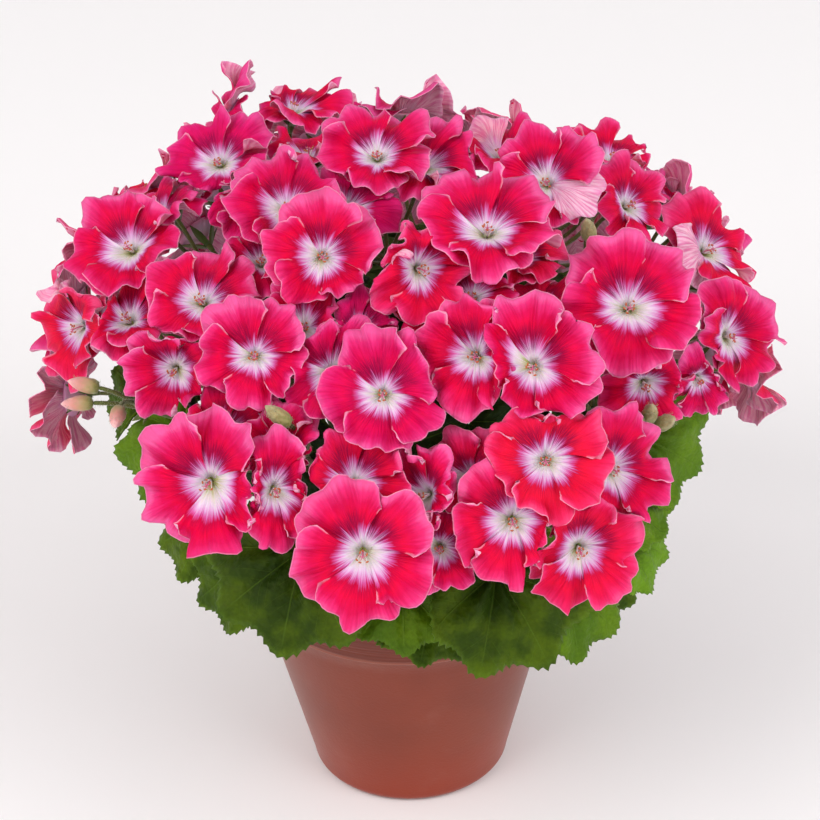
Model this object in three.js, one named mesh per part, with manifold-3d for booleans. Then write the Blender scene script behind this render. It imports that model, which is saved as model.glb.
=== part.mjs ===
// A potted pelargonium in full flower: a dome of ruffled crimson flower heads over toothed green leaves,
// on one branching trunk that stands in the soil of a smooth terracotta coloured pot.
// Millimetres, +Z up, the origin at the middle of the pot's underside. -Y is the front.

import * as THREE from "three";
import { mergeVertices } from "three/addons/utils/BufferGeometryUtils.js";
import Module from "manifold-3d";

const wasm = await Module();
wasm.setup();

// Driving dimensions. Where a length isn't named as a radius, height, depth or thickness, it is a share
// of the petal, the leaf or the bud that it belongs to, and angles are in degrees
const GAP = 0.3;
const POT = {
  height: 98,
  rimRadius: 60.6,
  rimBand: 13.6,
  rimLip: 0.7,
  baseRadius: 38.8,
  baseCorner: 5,
  wall: 2.2,
  floor: 2.4,
  sides: 24,
  drainHoles: 6,
  drainRadius: 4,
  drainCircle: 24,
};
const SOIL = { height: 88, mound: 2.5, holeDepth: 30, holeSides: 12, sides: 24 };
const DOME = { radius: 132, rise: 104, centreHeight: 170 };
const FLORET = {
  tube: 0.45,
  upperLength: 1.05,
  lowerLength: 0.98,
  roundness: 0.17,
  thickness: 0.8,
  cup: 0.42,
  cupRate: 2.2,
  reflex: 0.1,
  stagger: 0.06,
  ruffle: 0.07,
  ruffleTurns: 4.2,
  notch: 3,
  petals: 5,
  calyx: 7,
  middle: 0.6,
  pedicelRadius: 1,
  pedicelBend: 0.45,
};
const BUD = { length: 13, radius: 2.9, lean: 9, wideAt: 0.3, taperAt: 0.75 };
const HUB = { depth: 34, radius: 3.2, length: 4 };
const LEAF = {
  length: 0.56,
  sideLength: 0.06,
  sinus: 0.16,
  thickness: 0.8,
  teeth: 11,
  hiddenTeeth: 5,
  tooth: 0.07,
  middle: 0.22,
  reach: 0.42,
  sweep: 160,
  footSweep: 60,
  cup: 0.12,
  droop: 1.6,
  wave: 0.05,
  waves: 3,
  petioleRadius: 1.3,
  footRadius: 1.8,
  petioleBend: { back: 0.25, down: 0.15 },
};
const STEM = {
  trunkRadius: 6,
  trunkTop: 98,
  branches: 6,
  branchRadius: 3,
  sides: 4,
  crownCircle: 42,
  crownHeight: 138,
  headStalks: { from: 0.05, spread: 0.5 },
  leafStalks: { from: 0.6, spread: 0.7 },
};
const PEDUNCLE_RADIUS = 1.7;
const WALL = {
  margin: 0.85,
  layer: 0.7,
  tilt: 9,
  spare: 12,
  reach: 75,
  foot: 2,
  passes: 24,
  bend: 0.35,
  fold: 0.4,
};

// The photo's camera, which places what the photo shows: x and y below are pixels of its 820 by 820 frame
const VIEW = { tilt: 31.4, distance: 1200, focal: 3078, aimX: 3.1, aimZ: 163, roll: -1.47, middle: 410 };

const COLOUR = {
  petal: [0xe0, 0x1c, 0x4c],
  bud: [0xd9, 0x9c, 0x92],
  leaf: [0x46, 0x62, 0x12],
  pot: [0x96, 0x58, 0x48],
  soil: [0x2e, 0x22, 0x1a],
};

// Flower heads that the photo shows. Of each floret: the pixel of its throat, its width, the degrees
// that it faces right and up of the camera, the turn of its upper petals, and how far it stands out
const HEADS_SEEN = {
  top_left: [
    { x: 222, y: 167, width: 42, right: -15, up: 25, roll: 0, out: 3 },
    { x: 236, y: 122, width: 42, right: -80, up: 30, roll: 0, out: 0 },
    { x: 240, y: 207, width: 36, right: 35, up: 10, roll: 20, out: -2 },
    { x: 165, y: 222, width: 40, right: -40, up: 52, roll: -20, out: 0 },
  ],
  top_left_rear: [
    { x: 292, y: 117, width: 42, right: 15, up: 60, roll: 0, out: 1 },
    { x: 308, y: 163, width: 40, right: 20, up: 70, roll: 30, out: -7 },
  ],
  upper_left: [
    { x: 287, y: 212, width: 44, right: 5, up: 25, roll: 0, out: 0 },
    { x: 322, y: 257, width: 43, right: 8, up: 5, roll: 25, out: 6 },
    { x: 262, y: 268, width: 34, right: 0, up: 45, roll: 10, out: -6 },
  ],
  left: [
    { x: 135, y: 254, width: 46, right: -25, up: 32, roll: -10, out: 3 },
    { x: 88, y: 325, width: 46, right: -55, up: -5, roll: -10, out: 0 },
    { x: 132, y: 325, width: 40, right: -20, up: 40, roll: 20, out: -4 },
  ],
  left_middle: [
    { x: 205, y: 306, width: 42, right: -10, up: 30, roll: 35, out: 0 },
    { x: 255, y: 356, width: 40, right: 0, up: 8, roll: 0, out: 6 },
    { x: 178, y: 367, width: 38, right: -20, up: -15, roll: 10, out: 0 },
    { x: 303, y: 330, width: 38, right: 10, up: 22, roll: 20, out: -5 },
  ],
  top_middle: [
    { x: 378, y: 162, width: 42, right: -5, up: 35, roll: 0, out: 3 },
    { x: 422, y: 172, width: 44, right: 15, up: 40, roll: 30, out: -3 },
    { x: 345, y: 214, width: 42, right: 0, up: 30, roll: 0, out: -7 },
  ],
  centre: [
    { x: 415, y: 268, width: 46, right: 30, up: 0, roll: 0, out: 3 },
    { x: 487, y: 238, width: 50, right: 0, up: 36, roll: 0, out: 6 },
    { x: 430, y: 303, width: 36, right: -10, up: 30, roll: 10, out: -6 },
    { x: 518, y: 264, width: 36, right: 0, up: 45, roll: 20, out: -4 },
  ],
  top_right_rear: [
    { x: 500, y: 163, width: 42, right: 5, up: 60, roll: 0, out: -4 },
    { x: 548, y: 186, width: 42, right: -10, up: 20, roll: 5, out: 3 },
    { x: 610, y: 168, width: 42, right: 15, up: 58, roll: 0, out: -2 },
  ],
  right: [
    { x: 622, y: 208, width: 36, right: 45, up: 20, roll: 0, out: 1 },
    { x: 668, y: 210, width: 38, right: 38, up: 55, roll: 0, out: -3 },
    { x: 700, y: 254, width: 44, right: 45, up: 25, roll: 0, out: 2 },
  ],
  right_big: [
    { x: 627, y: 310, width: 50, right: 5, up: 15, roll: 0, out: 8 },
    { x: 541, y: 314, width: 36, right: -5, up: 30, roll: 0, out: -6 },
  ],
  far_right: [
    { x: 722, y: 336, width: 42, right: 42, up: 0, roll: 10, out: 2 },
    { x: 695, y: 375, width: 30, right: 30, up: -30, roll: 0, out: -3 },
    { x: 642, y: 380, width: 36, right: 15, up: -25, roll: 0, out: -6 },
  ],
  centre_right: [
    { x: 478, y: 356, width: 45, right: -10, up: 5, roll: 15, out: 3 },
    { x: 534, y: 366, width: 48, right: -5, up: 0, roll: 20, out: 6 },
    { x: 472, y: 300, width: 36, right: 0, up: 25, roll: 0, out: -5 },
  ],
  centre_left: [
    { x: 332, y: 371, width: 40, right: 0, up: 5, roll: -10, out: 0 },
    { x: 383, y: 394, width: 44, right: 0, up: 5, roll: 10, out: 3 },
    { x: 358, y: 335, width: 34, right: 10, up: 20, roll: 0, out: -7 },
  ],
  lower_right: [
    { x: 545, y: 460, width: 46, right: 0, up: 5, roll: 0, out: 5 },
    { x: 606, y: 468, width: 44, right: 35, up: 0, roll: 20, out: 2 },
  ],
  low_right: [
    { x: 512, y: 518, width: 46, right: 0, up: -5, roll: 0, out: 2 },
    { x: 577, y: 545, width: 44, right: 15, up: -15, roll: 20, out: 4 },
    { x: 474, y: 478, width: 34, right: -10, up: 5, roll: 0, out: -6 },
    { x: 432, y: 494, width: 40, right: -40, up: 0, roll: 0, out: -1 },
  ],
  low_centre: [
    { x: 355, y: 484, width: 46, right: -5, up: 10, roll: 0, out: 0 },
    { x: 363, y: 550, width: 50, right: 0, up: -5, roll: 0, out: 8 },
    { x: 440, y: 545, width: 32, right: 0, up: -10, roll: 30, out: -6 },
  ],
  low_left: [
    { x: 212, y: 480, width: 50, right: -15, up: -5, roll: -15, out: 5 },
    { x: 272, y: 488, width: 42, right: 20, up: -5, roll: 10, out: 3 },
    { x: 225, y: 436, width: 40, right: -10, up: 25, roll: 10, out: -4 },
    { x: 290, y: 456, width: 38, right: -35, up: 10, roll: 30, out: -1 },
  ],
};

// Buds that the photo shows: the pixel of the bud's foot and of its tip, by head
const BUDS_SEEN = {
  low_left: [{ x: 290, y: 425, tipX: 268, tipY: 408, out: 6 }],
  top_right_rear: [{ x: 590, y: 240, tipX: 587, tipY: 222, out: 0 }],
  left_buds: [
    { x: 100, y: 388, tipX: 68, tipY: 381, out: 0 },
    { x: 94, y: 403, tipX: 62, tipY: 404, out: 0 },
    { x: 120, y: 408, tipX: 113, tipY: 431, out: 0 },
  ],
  far_right: [
    { x: 640, y: 424, tipX: 626, tipY: 414, out: -6 },
    { x: 648, y: 420, tipX: 652, tipY: 406, out: -6 },
    { x: 656, y: 426, tipX: 670, tipY: 420, out: -6 },
  ],
};

// Leaves that the photo shows: the pixel of the blade's foot, how far that lies in front of the pot's
// axis, the blade's width, the degrees that it faces right and up, and where its tip points, from up
const LEAVES_SEEN = [
  { x: 303, y: 550, front: 84, width: 66, right: -8, up: 12, tip: 192 },
  { x: 252, y: 560, front: 66, width: 50, right: -28, up: 10, tip: 238 },
  { x: 496, y: 572, front: 84, width: 66, right: 8, up: 14, tip: 150 },
  { x: 560, y: 585, front: 62, width: 52, right: 25, up: 10, tip: 125 },
  { x: 402, y: 585, front: 84, width: 44, right: 0, up: 22, tip: 178 },
  { x: 430, y: 600, front: 60, width: 44, right: 6, up: 20, tip: 190 },
  { x: 637, y: 436, front: 30, width: 56, right: 24, up: 0, tip: 112 },
  { x: 634, y: 402, front: 12, width: 48, right: 22, up: 14, tip: 80 },
  { x: 628, y: 500, front: 40, width: 42, right: 34, up: 4, tip: 95 },
  { x: 622, y: 540, front: 46, width: 42, right: 30, up: 4, tip: 105 },
  { x: 586, y: 572, front: 30, width: 40, right: 20, up: 8, tip: 120 },
  { x: 182, y: 434, front: 32, width: 52, right: -24, up: 8, tip: 256 },
  { x: 150, y: 398, front: 18, width: 38, right: -30, up: 10, tip: 262 },
  { x: 212, y: 520, front: 46, width: 46, right: -28, up: 8, tip: 250 },
];

// Hidden leaves and heads follow rules: a ring of leaves round the back, leaves spread over a smaller
// dome under the flowers, and rings of heads
const REAR_LEAVES = {
  count: 9,
  from: 104,
  to: 256,
  radius: 74,
  low: 128,
  high: 152,
  width: 62,
  facing: 38,
};
const INNER_LEAVES = {
  count: 17,
  turn: 137.5,
  radius: 82,
  rise: 58,
  centreHeight: 164,
  lowest: -10,
  highest: 74,
  width: 54,
};
const LEAF_TURN = { droop: 0.6, spread: 20 };
const REAR_RINGS = [
  { name: "rear_low", heads: 5, florets: 3, from: 110, to: 250, rise: 1, ring: 21 },
  { name: "rear_high", heads: 3, florets: 4, from: 144, to: 206, rise: 26, ring: 24 },
  { name: "rear_side", heads: 2, florets: 3, from: 122, to: 240, rise: 28, ring: 18 },
];
const REAR_FLORET = { width: 42, spread: 8, shift: 0.4, step: 4, lean: 0.1, leanSpread: 0.2, roll: 40 };
const SEED = 20250617;

const degrees = THREE.MathUtils.degToRad;
const vec = (x, y, z) => new THREE.Vector3(x, y, z);
const UP = vec(0, 0, 1);

// A small seeded generator, so that every build is the same
function randomFrom(seed) {
  let state = seed >>> 0;
  return () => {
    state = (state + 0x6d2b79f5) >>> 0;
    let mixed = Math.imul(state ^ (state >>> 15), state | 1);
    mixed ^= mixed + Math.imul(mixed ^ (mixed >>> 7), mixed | 61);
    return ((mixed ^ (mixed >>> 14)) >>> 0) / 4294967296;
  };
}

function smooth(from, to, value) {
  const share = Math.min(Math.max((value - from) / (to - from), 0), 1);
  return share * share * (3 - 2 * share);
}

// The camera's place and its right, up and forward directions
function cameraFrame() {
  const tilt = degrees(VIEW.tilt);
  const roll = degrees(VIEW.roll);
  const forward = vec(0, Math.cos(tilt), -Math.sin(tilt));
  const level = vec(1, 0, 0);
  const upright = level.clone().cross(forward);
  const right = level.clone().multiplyScalar(Math.cos(roll)).addScaledVector(upright, Math.sin(roll));
  const up = upright.clone().multiplyScalar(Math.cos(roll)).addScaledVector(level, -Math.sin(roll));
  const eye = vec(VIEW.aimX, 0, VIEW.aimZ).addScaledVector(forward, -VIEW.distance);
  return { forward, right, up, eye };
}

const CAMERA = cameraFrame();

function sightLine(x, y) {
  return CAMERA.forward
    .clone()
    .addScaledVector(CAMERA.right, (x - VIEW.middle) / VIEW.focal)
    .addScaledVector(CAMERA.up, (VIEW.middle - y) / VIEW.focal)
    .normalize();
}

// Where a line of sight meets the dome that stands `out` beyond the mean one, or passes closest to it
function onDome(x, y, out) {
  const line = sightLine(x, y);
  const radius = DOME.radius + out;
  const rise = DOME.rise + out;
  const scale = vec(1 / radius, 1 / radius, 1 / rise);
  const start = CAMERA.eye.clone().sub(vec(0, 0, DOME.centreHeight)).multiply(scale);
  const step = line.clone().multiply(scale);
  const a = step.dot(step);
  const b = step.dot(start);
  const c = start.dot(start) - 1;
  const root = Math.sqrt(Math.max(b * b - a * c, 0));
  return CAMERA.eye.clone().addScaledVector(line, (-b - root) / a);
}

function domeNormal(point) {
  const flat = DOME.radius * DOME.radius;
  const tall = DOME.rise * DOME.rise;
  return vec(point.x / flat, point.y / flat, (point.z - DOME.centreHeight) / tall).normalize();
}

// The direction that faces `right` and `up` degrees away from the camera
function facing(right, up) {
  const side = degrees(right);
  const lift = degrees(up);
  return CAMERA.forward
    .clone()
    .multiplyScalar(-Math.cos(side) * Math.cos(lift))
    .addScaledVector(CAMERA.right, Math.sin(side) * Math.cos(lift))
    .addScaledVector(CAMERA.up, Math.sin(lift))
    .normalize();
}

// A frame whose z is the axis and whose y is the guide, turned clockwise by `roll` degrees
function frameAround(axis, guide, roll) {
  const z = axis.clone().normalize();
  const y = guide.clone().addScaledVector(z, -guide.dot(z)).normalize();
  y.applyAxisAngle(z, -degrees(roll));
  const x = y.clone().cross(z);
  return { x, y, z };
}

function toWorld(blade, local) {
  return blade.place
    .clone()
    .addScaledVector(blade.frame.x, local.x)
    .addScaledVector(blade.frame.y, local.y)
    .addScaledVector(blade.frame.z, local.z);
}

// The first and last petals stand either side of the floret's upper line
function isUpper(petal) {
  return petal === 0 || petal === FLORET.petals - 1;
}

// Florets: place, frame, radius and ruffle phases
function makeFloret(place, axis, guide, roll, width, random) {
  const frame = frameAround(axis, guide, roll);
  const phases = Array.from({ length: FLORET.petals }, () => random() * 2 * Math.PI);
  const radius = width / 2;
  const middle = place.clone().addScaledVector(frame.z, FLORET.middle * FLORET.cup * radius);
  return { place, frame, radius, phases, middle, size: radius, outward: domeNormal(middle) };
}

function seenHeads(random) {
  return Object.entries(HEADS_SEEN).map(([name, rows]) => {
    const florets = rows.map((row) => {
      const place = onDome(row.x, row.y, row.out);
      const axis = facing(row.right, row.up);
      const floret = makeFloret(place, axis, CAMERA.up, row.roll, row.width, random);
      return { ...floret, fine: true };
    });
    return { name: `head_${name}`, florets, budRows: BUDS_SEEN[name] ?? [] };
  });
}

function domePoint(azimuth, rise, out) {
  const side = degrees(azimuth);
  const lift = degrees(rise);
  return vec(
    (DOME.radius + out) * Math.sin(side) * Math.cos(lift),
    -(DOME.radius + out) * Math.cos(side) * Math.cos(lift),
    DOME.centreHeight + (DOME.rise + out) * Math.sin(lift)
  );
}

function rearHeads(random) {
  const heads = [];
  for (const ring of REAR_RINGS) {
    for (let i = 0; i < ring.heads; i++) {
      const azimuth = ring.from + ((ring.to - ring.from) * i) / (ring.heads - 1);
      const centre = domePoint(azimuth, ring.rise, 0);
      const axis = domeNormal(centre);
      const frame = frameAround(axis, UP, 0);
      const florets = [];
      for (let k = 0; k < ring.florets; k++) {
        const turn = (2 * Math.PI * (k + random() * REAR_FLORET.shift)) / ring.florets;
        const out = REAR_FLORET.step * (((k + i) % 3) - 1);
        const place = centre
          .clone()
          .addScaledVector(frame.x, ring.ring * Math.sin(turn))
          .addScaledVector(frame.y, ring.ring * Math.cos(turn));
        const normal = domeNormal(place);
        const seat = place.sub(vec(0, 0, DOME.centreHeight));
        const reach = Math.hypot(seat.x / DOME.radius, seat.y / DOME.radius, seat.z / DOME.rise);
        seat.divideScalar(reach).addScaledVector(normal, out);
        seat.z += DOME.centreHeight;
        const lean = REAR_FLORET.lean + REAR_FLORET.leanSpread * random();
        const roll = REAR_FLORET.roll * (random() - 0.5);
        const width = REAR_FLORET.width + REAR_FLORET.spread * random();
        florets.push(makeFloret(seat, normal.addScaledVector(UP, lean), UP, roll, width, random));
      }
      heads.push({ name: `head_${ring.name}_${i + 1}`, florets, budRows: [] });
    }
  }
  return heads;
}

// Leaves: the foot of the blade, its frame with y toward the tip, and the stem's side
function makeLeaf(place, axis, guide, roll, width, teeth, random) {
  const frame = frameAround(axis, guide, roll);
  const middle = place.clone().addScaledVector(frame.y, LEAF.middle * width);
  const phase = random() * 2 * Math.PI;
  return { place, frame, width, teeth, phase, middle, size: LEAF.reach * width, outward: frame.z };
}

// Inner leaves lie on a smaller dome, from its lowest to its highest turning by the golden angle
function innerLeaf(index, random) {
  const low = Math.sin(degrees(INNER_LEAVES.lowest));
  const high = Math.sin(degrees(INNER_LEAVES.highest));
  const lift = low + ((high - low) * index) / (INNER_LEAVES.count - 1);
  const side = degrees(INNER_LEAVES.turn * index);
  const level = Math.sqrt(1 - lift * lift);
  const outward = vec(Math.sin(side), -Math.cos(side), 0);
  const middle = outward.clone().multiplyScalar(INNER_LEAVES.radius * level);
  middle.z = INNER_LEAVES.centreHeight + INNER_LEAVES.rise * lift;
  const axis = outward.clone().multiplyScalar(level / INNER_LEAVES.radius);
  axis.z = lift / INNER_LEAVES.rise;
  const turn = LEAF_TURN.spread * (random() - 0.5);
  const tip = outward.setZ(-LEAF_TURN.droop);
  const along = frameAround(axis, tip, turn).y;
  const place = middle.addScaledVector(along, -LEAF.middle * INNER_LEAVES.width);
  return makeLeaf(place, axis, tip, turn, INNER_LEAVES.width, LEAF.hiddenTeeth, random);
}

function makeLeaves(random) {
  const seen = LEAVES_SEEN.map((row) => {
    const line = sightLine(row.x, row.y);
    const along = (-row.front - CAMERA.eye.y) / line.y;
    const place = CAMERA.eye.clone().addScaledVector(line, along);
    const axis = facing(row.right, row.up);
    return makeLeaf(place, axis, CAMERA.up, row.tip, row.width, LEAF.teeth, random);
  });
  const ringLeaf = (ring, azimuth, height) => {
    const side = degrees(azimuth);
    const outward = vec(Math.sin(side), -Math.cos(side), 0);
    const lift = degrees(ring.facing);
    const place = outward.clone().multiplyScalar(ring.radius).setZ(height);
    const axis = outward.clone().multiplyScalar(Math.cos(lift)).setZ(Math.sin(lift));
    const turn = LEAF_TURN.spread * (random() - 0.5);
    const tip = outward.setZ(-LEAF_TURN.droop);
    return makeLeaf(place, axis, tip, turn, ring.width, LEAF.hiddenTeeth, random);
  };
  const rear = Array.from({ length: REAR_LEAVES.count }, (_, i) => {
    const share = i / (REAR_LEAVES.count - 1);
    const azimuth = REAR_LEAVES.from + (REAR_LEAVES.to - REAR_LEAVES.from) * share;
    return ringLeaf(REAR_LEAVES, azimuth, i % 2 ? REAR_LEAVES.high : REAR_LEAVES.low);
  });
  const inner = Array.from({ length: INNER_LEAVES.count }, (_, i) => innerLeaf(i, random));
  return [...seen, ...rear, ...inner];
}

// Petals and leaves that would cross bend clear of each other: each keeps to its own side of a plane
// that leans, so that the blade that stands farther out lies over its neighbour
function separate(blades) {
  for (const blade of blades) {
    blade.walls = [];
  }
  for (let i = 0; i < blades.length; i++) {
    for (let j = i + 1; j < blades.length; j++) {
      const a = blades[i];
      const b = blades[j];
      const across = b.middle.clone().sub(a.middle);
      if (across.length() > Math.min(a.size + b.size + WALL.spare, WALL.reach)) {
        continue;
      }
      const outward = a.outward.clone().add(b.outward).normalize();
      const lift = across.dot(outward);
      const normal = across.clone().addScaledVector(outward, WALL.tilt * lift).normalize();
      const point = a.middle.clone().addScaledVector(across, a.size / (a.size + b.size));
      const low = Math.max(a.middle.dot(normal), a.place.dot(normal)) + WALL.foot;
      const high = Math.min(b.middle.dot(normal), b.place.dot(normal)) - WALL.foot;
      const offset = low < high ? Math.min(Math.max(point.dot(normal), low), high) : (low + high) / 2;
      a.walls.push({ normal, offset });
      b.walls.push({ normal: normal.clone().negate(), offset: -offset });
    }
  }
}

// Moves a point to its blade's side of every wall. `layer` is -1 to 1 from the blade's low edge to its
// high edge, and keeps overlapping edges apart
function bendClear(blade, point, layer) {
  for (let pass = 0; pass < WALL.passes; pass++) {
    let moved = 0;
    for (const wall of blade.walls) {
      const slope = wall.normal.dot(blade.frame.z);
      const margin = WALL.margin + WALL.layer * (1 - slope * layer);
      const excess = point.dot(wall.normal) - wall.offset + margin;
      if (excess > 0) {
        point.addScaledVector(wall.normal, -excess);
        moved = Math.max(moved, excess);
      }
    }
    if (moved < 0.01) {
      break;
    }
  }
  return point;
}

// A point of a blade's surface bent clear of the walls. Where that would bend it too far, the blade is
// shorter there. `surface` gives the point at a share of its full reach
function fitBlade(blade, surface, layer) {
  let fitted;
  for (const share of [1, 0.88, 0.76, 0.64, 0.52]) {
    const free = toWorld(blade, surface(share));
    fitted = bendClear(blade, free.clone(), layer);
    if (fitted.distanceTo(free) <= WALL.bend * blade.size) {
      break;
    }
  }
  return fitted;
}

// A blade that would fold where it has too little room is made smaller. `drawn` gives its points and
// triangles at a share of its size
function fitSheet(blade, drawn) {
  let sheet;
  for (const share of [1, 0.9, 0.8, 0.7, 0.6]) {
    sheet = drawn(share);
    const folded = sheet.triangles.some((triangle) => {
      return triangleNormal(sheet.points, triangle).dot(sheet.normal) < WALL.fold;
    });
    if (!folded) {
      break;
    }
  }
  return sheet;
}

// A petal's middle surface: `along` runs from throat to tip and `across` from -1 to 1
function petalPoint(floret, petal, along, across) {
  const upper = isUpper(petal);
  const half = 180 / FLORET.petals;
  const turn = degrees(half * (2 * petal + 1));
  const free = smooth(FLORET.tube, 1, along);
  const spread = degrees(half - FLORET.notch * free);
  const length = floret.radius * (upper ? FLORET.upperLength : FLORET.lowerLength);
  const rounded = 1 - FLORET.roundness * across * across * smooth(FLORET.tube, 1, along);
  const distance = length * along * rounded;
  const angle = turn + across * spread;
  const share = distance / floret.radius;
  const funnel = FLORET.cup * (1 - Math.exp(-FLORET.cupRate * share)) - FLORET.reflex * share ** 4;
  const ruffle = FLORET.ruffle * free * Math.sin(FLORET.ruffleTurns * across + floret.phases[petal]);
  const height = floret.radius * (funnel + FLORET.stagger * across * free + ruffle);
  return vec(distance * Math.sin(angle), distance * Math.cos(angle), height);
}

function triangleNormal(points, [a, b, c]) {
  const side = points[b].clone().sub(points[a]);
  return side.cross(points[c].clone().sub(points[a])).normalize();
}

// A sheet of points and triangles gets its two faces, half the thickness to either side
function makeSheet(points, triangles, thickness) {
  const normals = points.map(() => vec(0, 0, 0));
  for (const triangle of triangles) {
    const normal = triangleNormal(points, triangle);
    triangle.forEach((index) => normals[index].add(normal));
  }
  normals.forEach((normal) => normal.normalize());
  const shifted = (sign) => {
    return points.map((point, i) => point.clone().addScaledVector(normals[i], (sign * thickness) / 2));
  };
  return { points, normals, thickness, top: shifted(1), bottom: shifted(-1) };
}

// The rim between the two faces along one edge, split alike from both of its sides
function rimFaces(sheet, from, to) {
  const { top, bottom } = sheet;
  if (from < to) {
    return [[bottom[from], bottom[to], top[to]], [bottom[from], top[to], top[from]]];
  }
  return [[bottom[from], bottom[to], top[from]], [bottom[to], top[to], top[from]]];
}

// One triangle of a sheet as a solid wedge. Where the sheet folds sharply, the wedge stands on its own
function wedgeSolid(sheet, triangle) {
  const [a, b, c] = triangle;
  const normal = triangleNormal(sheet.points, triangle);
  let own = sheet;
  if (triangle.some((index) => sheet.normals[index].dot(normal) < WALL.fold)) {
    const shifted = (sign) => {
      const half = (sign * sheet.thickness) / 2;
      return Object.fromEntries(
        triangle.map((index) => [index, sheet.points[index].clone().addScaledVector(normal, half)])
      );
    };
    own = { top: shifted(1), bottom: shifted(-1) };
  }
  return solidFromFaces([
    [own.top[a], own.top[b], own.top[c]],
    [own.bottom[a], own.bottom[c], own.bottom[b]],
    ...rimFaces(own, a, b),
    ...rimFaces(own, b, c),
    ...rimFaces(own, c, a),
  ]);
}

// Triangles between two rings of points that run the same way round, also of unlike counts
function stitch(faces, lower, upper) {
  let i = 0;
  let j = 0;
  while (i < lower.length || j < upper.length) {
    const nextLower = (i + 1) / lower.length;
    const nextUpper = (j + 1) / upper.length;
    const a = lower[i % lower.length];
    const b = upper[j % upper.length];
    if (upper.length === 1 || (lower.length > 1 && nextLower <= nextUpper && i < lower.length)) {
      faces.push([lower[(i + 1) % lower.length], a, b]);
      i++;
      if (upper.length === 1 && i === lower.length) {
        break;
      }
    } else {
      faces.push([a, b, upper[(j + 1) % upper.length]]);
      j++;
    }
  }
}

function ringAt(centre, frame, radius, sides) {
  return Array.from({ length: sides }, (_, i) => {
    const angle = (2 * Math.PI * i) / sides;
    return centre
      .clone()
      .addScaledVector(frame.x, radius * Math.sin(angle))
      .addScaledVector(frame.y, radius * Math.cos(angle));
  });
}

// The frame turned so that its z runs along a new direction
function turnedFrame(frame, direction) {
  const turn = new THREE.Quaternion().setFromUnitVectors(frame.z, direction);
  return {
    x: frame.x.clone().applyQuaternion(turn),
    y: frame.y.clone().applyQuaternion(turn),
    z: direction,
  };
}

// Three-sided rings at a stalk's upper end and at the hub
function stalkRings(top, frame, hub) {
  const length = top.distanceTo(hub.centre);
  const bend = top.clone().addScaledVector(frame.z, -FLORET.pedicelBend * length);
  const curve = new THREE.QuadraticBezierCurve3(top, bend, hub.centre);
  return [0, 1].map((share) => {
    const along = turnedFrame(frame, curve.getTangent(share).negate());
    return ringAt(curve.getPoint(share), along, FLORET.pedicelRadius, 3);
  });
}

function closeStalk(faces, rings) {
  for (let i = 0; i + 1 < rings.length; i++) {
    stitch(faces, rings[i + 1], rings[i]);
  }
  const [a, b, c] = rings.at(-1);
  faces.push([a, b, c]);
}

// The points and triangles of a floret: a trumpet first, then its five spreading lobes
function floretSheet(floret, size) {
  const ring = FLORET.petals;
  const points = [toWorld(floret, vec(0, 0, 0))];
  const trumpet = [];
  for (let k = 0; k < ring; k++) {
    const shared = toWorld(floret, petalPoint(floret, k, FLORET.tube * size, -1));
    points.push(bendClear(floret, shared, 0));
    trumpet.push([0, 1 + ((k + 1) % ring), 1 + k]);
  }
  const lobes = [];
  for (let k = 0; k < ring; k++) {
    const plain = floret.fine ? [-1, 0, 1] : [-0.7, 0.7];
    const edge = floret.fine && isUpper(k) ? [-1, -0.36, 0.36, 1] : plain;
    const left = 1 + k;
    const right = 1 + ((k + 1) % ring);
    const first = points.length;
    for (const across of edge) {
      points.push(fitBlade(floret, (share) => petalPoint(floret, k, share * size, across), across));
    }
    lobes.push([left, first + 1, first], [left, right, first + 1]);
    for (let i = 2; i < edge.length; i++) {
      lobes.push([right, first + i, first + i - 1]);
    }
  }
  return { points, trumpet, lobes, triangles: [...trumpet, ...lobes], normal: floret.frame.z };
}

// One floret with its calyx and pedicel
function floretSolid(floret, hub) {
  const drawn = fitSheet(floret, (size) => floretSheet(floret, size));
  const sheet = makeSheet(drawn.points, drawn.triangles, FLORET.thickness);
  const calyxEnd = floret.place.clone().addScaledVector(floret.frame.z, -FLORET.calyx);
  const rings = stalkRings(calyxEnd, floret.frame, hub);
  const faces = drawn.trumpet.flatMap(([a, b, c]) => [
    [sheet.top[a], sheet.top[b], sheet.top[c]],
    ...rimFaces(sheet, b, c),
  ]);
  stitch(faces, rings[0], sheet.bottom.slice(1, 1 + FLORET.petals));
  closeStalk(faces, rings);
  return unionOf([solidFromFaces(faces), ...drawn.lobes.map((lobe) => wedgeSolid(sheet, lobe))]);
}

function budFaces(bud, hub) {
  const rings = stalkRings(bud.place, bud.frame, hub);
  const along = (share) => bud.place.clone().addScaledVector(bud.frame.z, share * BUD.length);
  const low = ringAt(along(BUD.wideAt), bud.frame, BUD.radius, 5);
  const high = ringAt(along(BUD.taperAt), bud.frame, 0.75 * BUD.radius, 5);
  const faces = [];
  stitch(faces, high, [along(1)]);
  stitch(faces, low, high);
  stitch(faces, rings[0], low);
  closeStalk(faces, rings);
  return faces;
}

// Solids, for joining and cutting
function solidFromFaces(faces) {
  const positions = faces.flat().flatMap((point) => [point.x, point.y, point.z]);
  const geometry = new THREE.BufferGeometry();
  geometry.setAttribute("position", new THREE.Float32BufferAttribute(positions, 3));
  return solidFrom(geometry);
}

function solidFrom(geometry) {
  const bare = geometry.clone();
  bare.deleteAttribute("normal");
  bare.deleteAttribute("uv");
  const merged = mergeVertices(bare, 1e-4);
  const mesh = new wasm.Mesh({
    numProp: 3,
    vertProperties: new Float32Array(merged.attributes.position.array),
    triVerts: new Uint32Array(merged.index.array),
  });
  return new wasm.Manifold(mesh);
}

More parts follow.
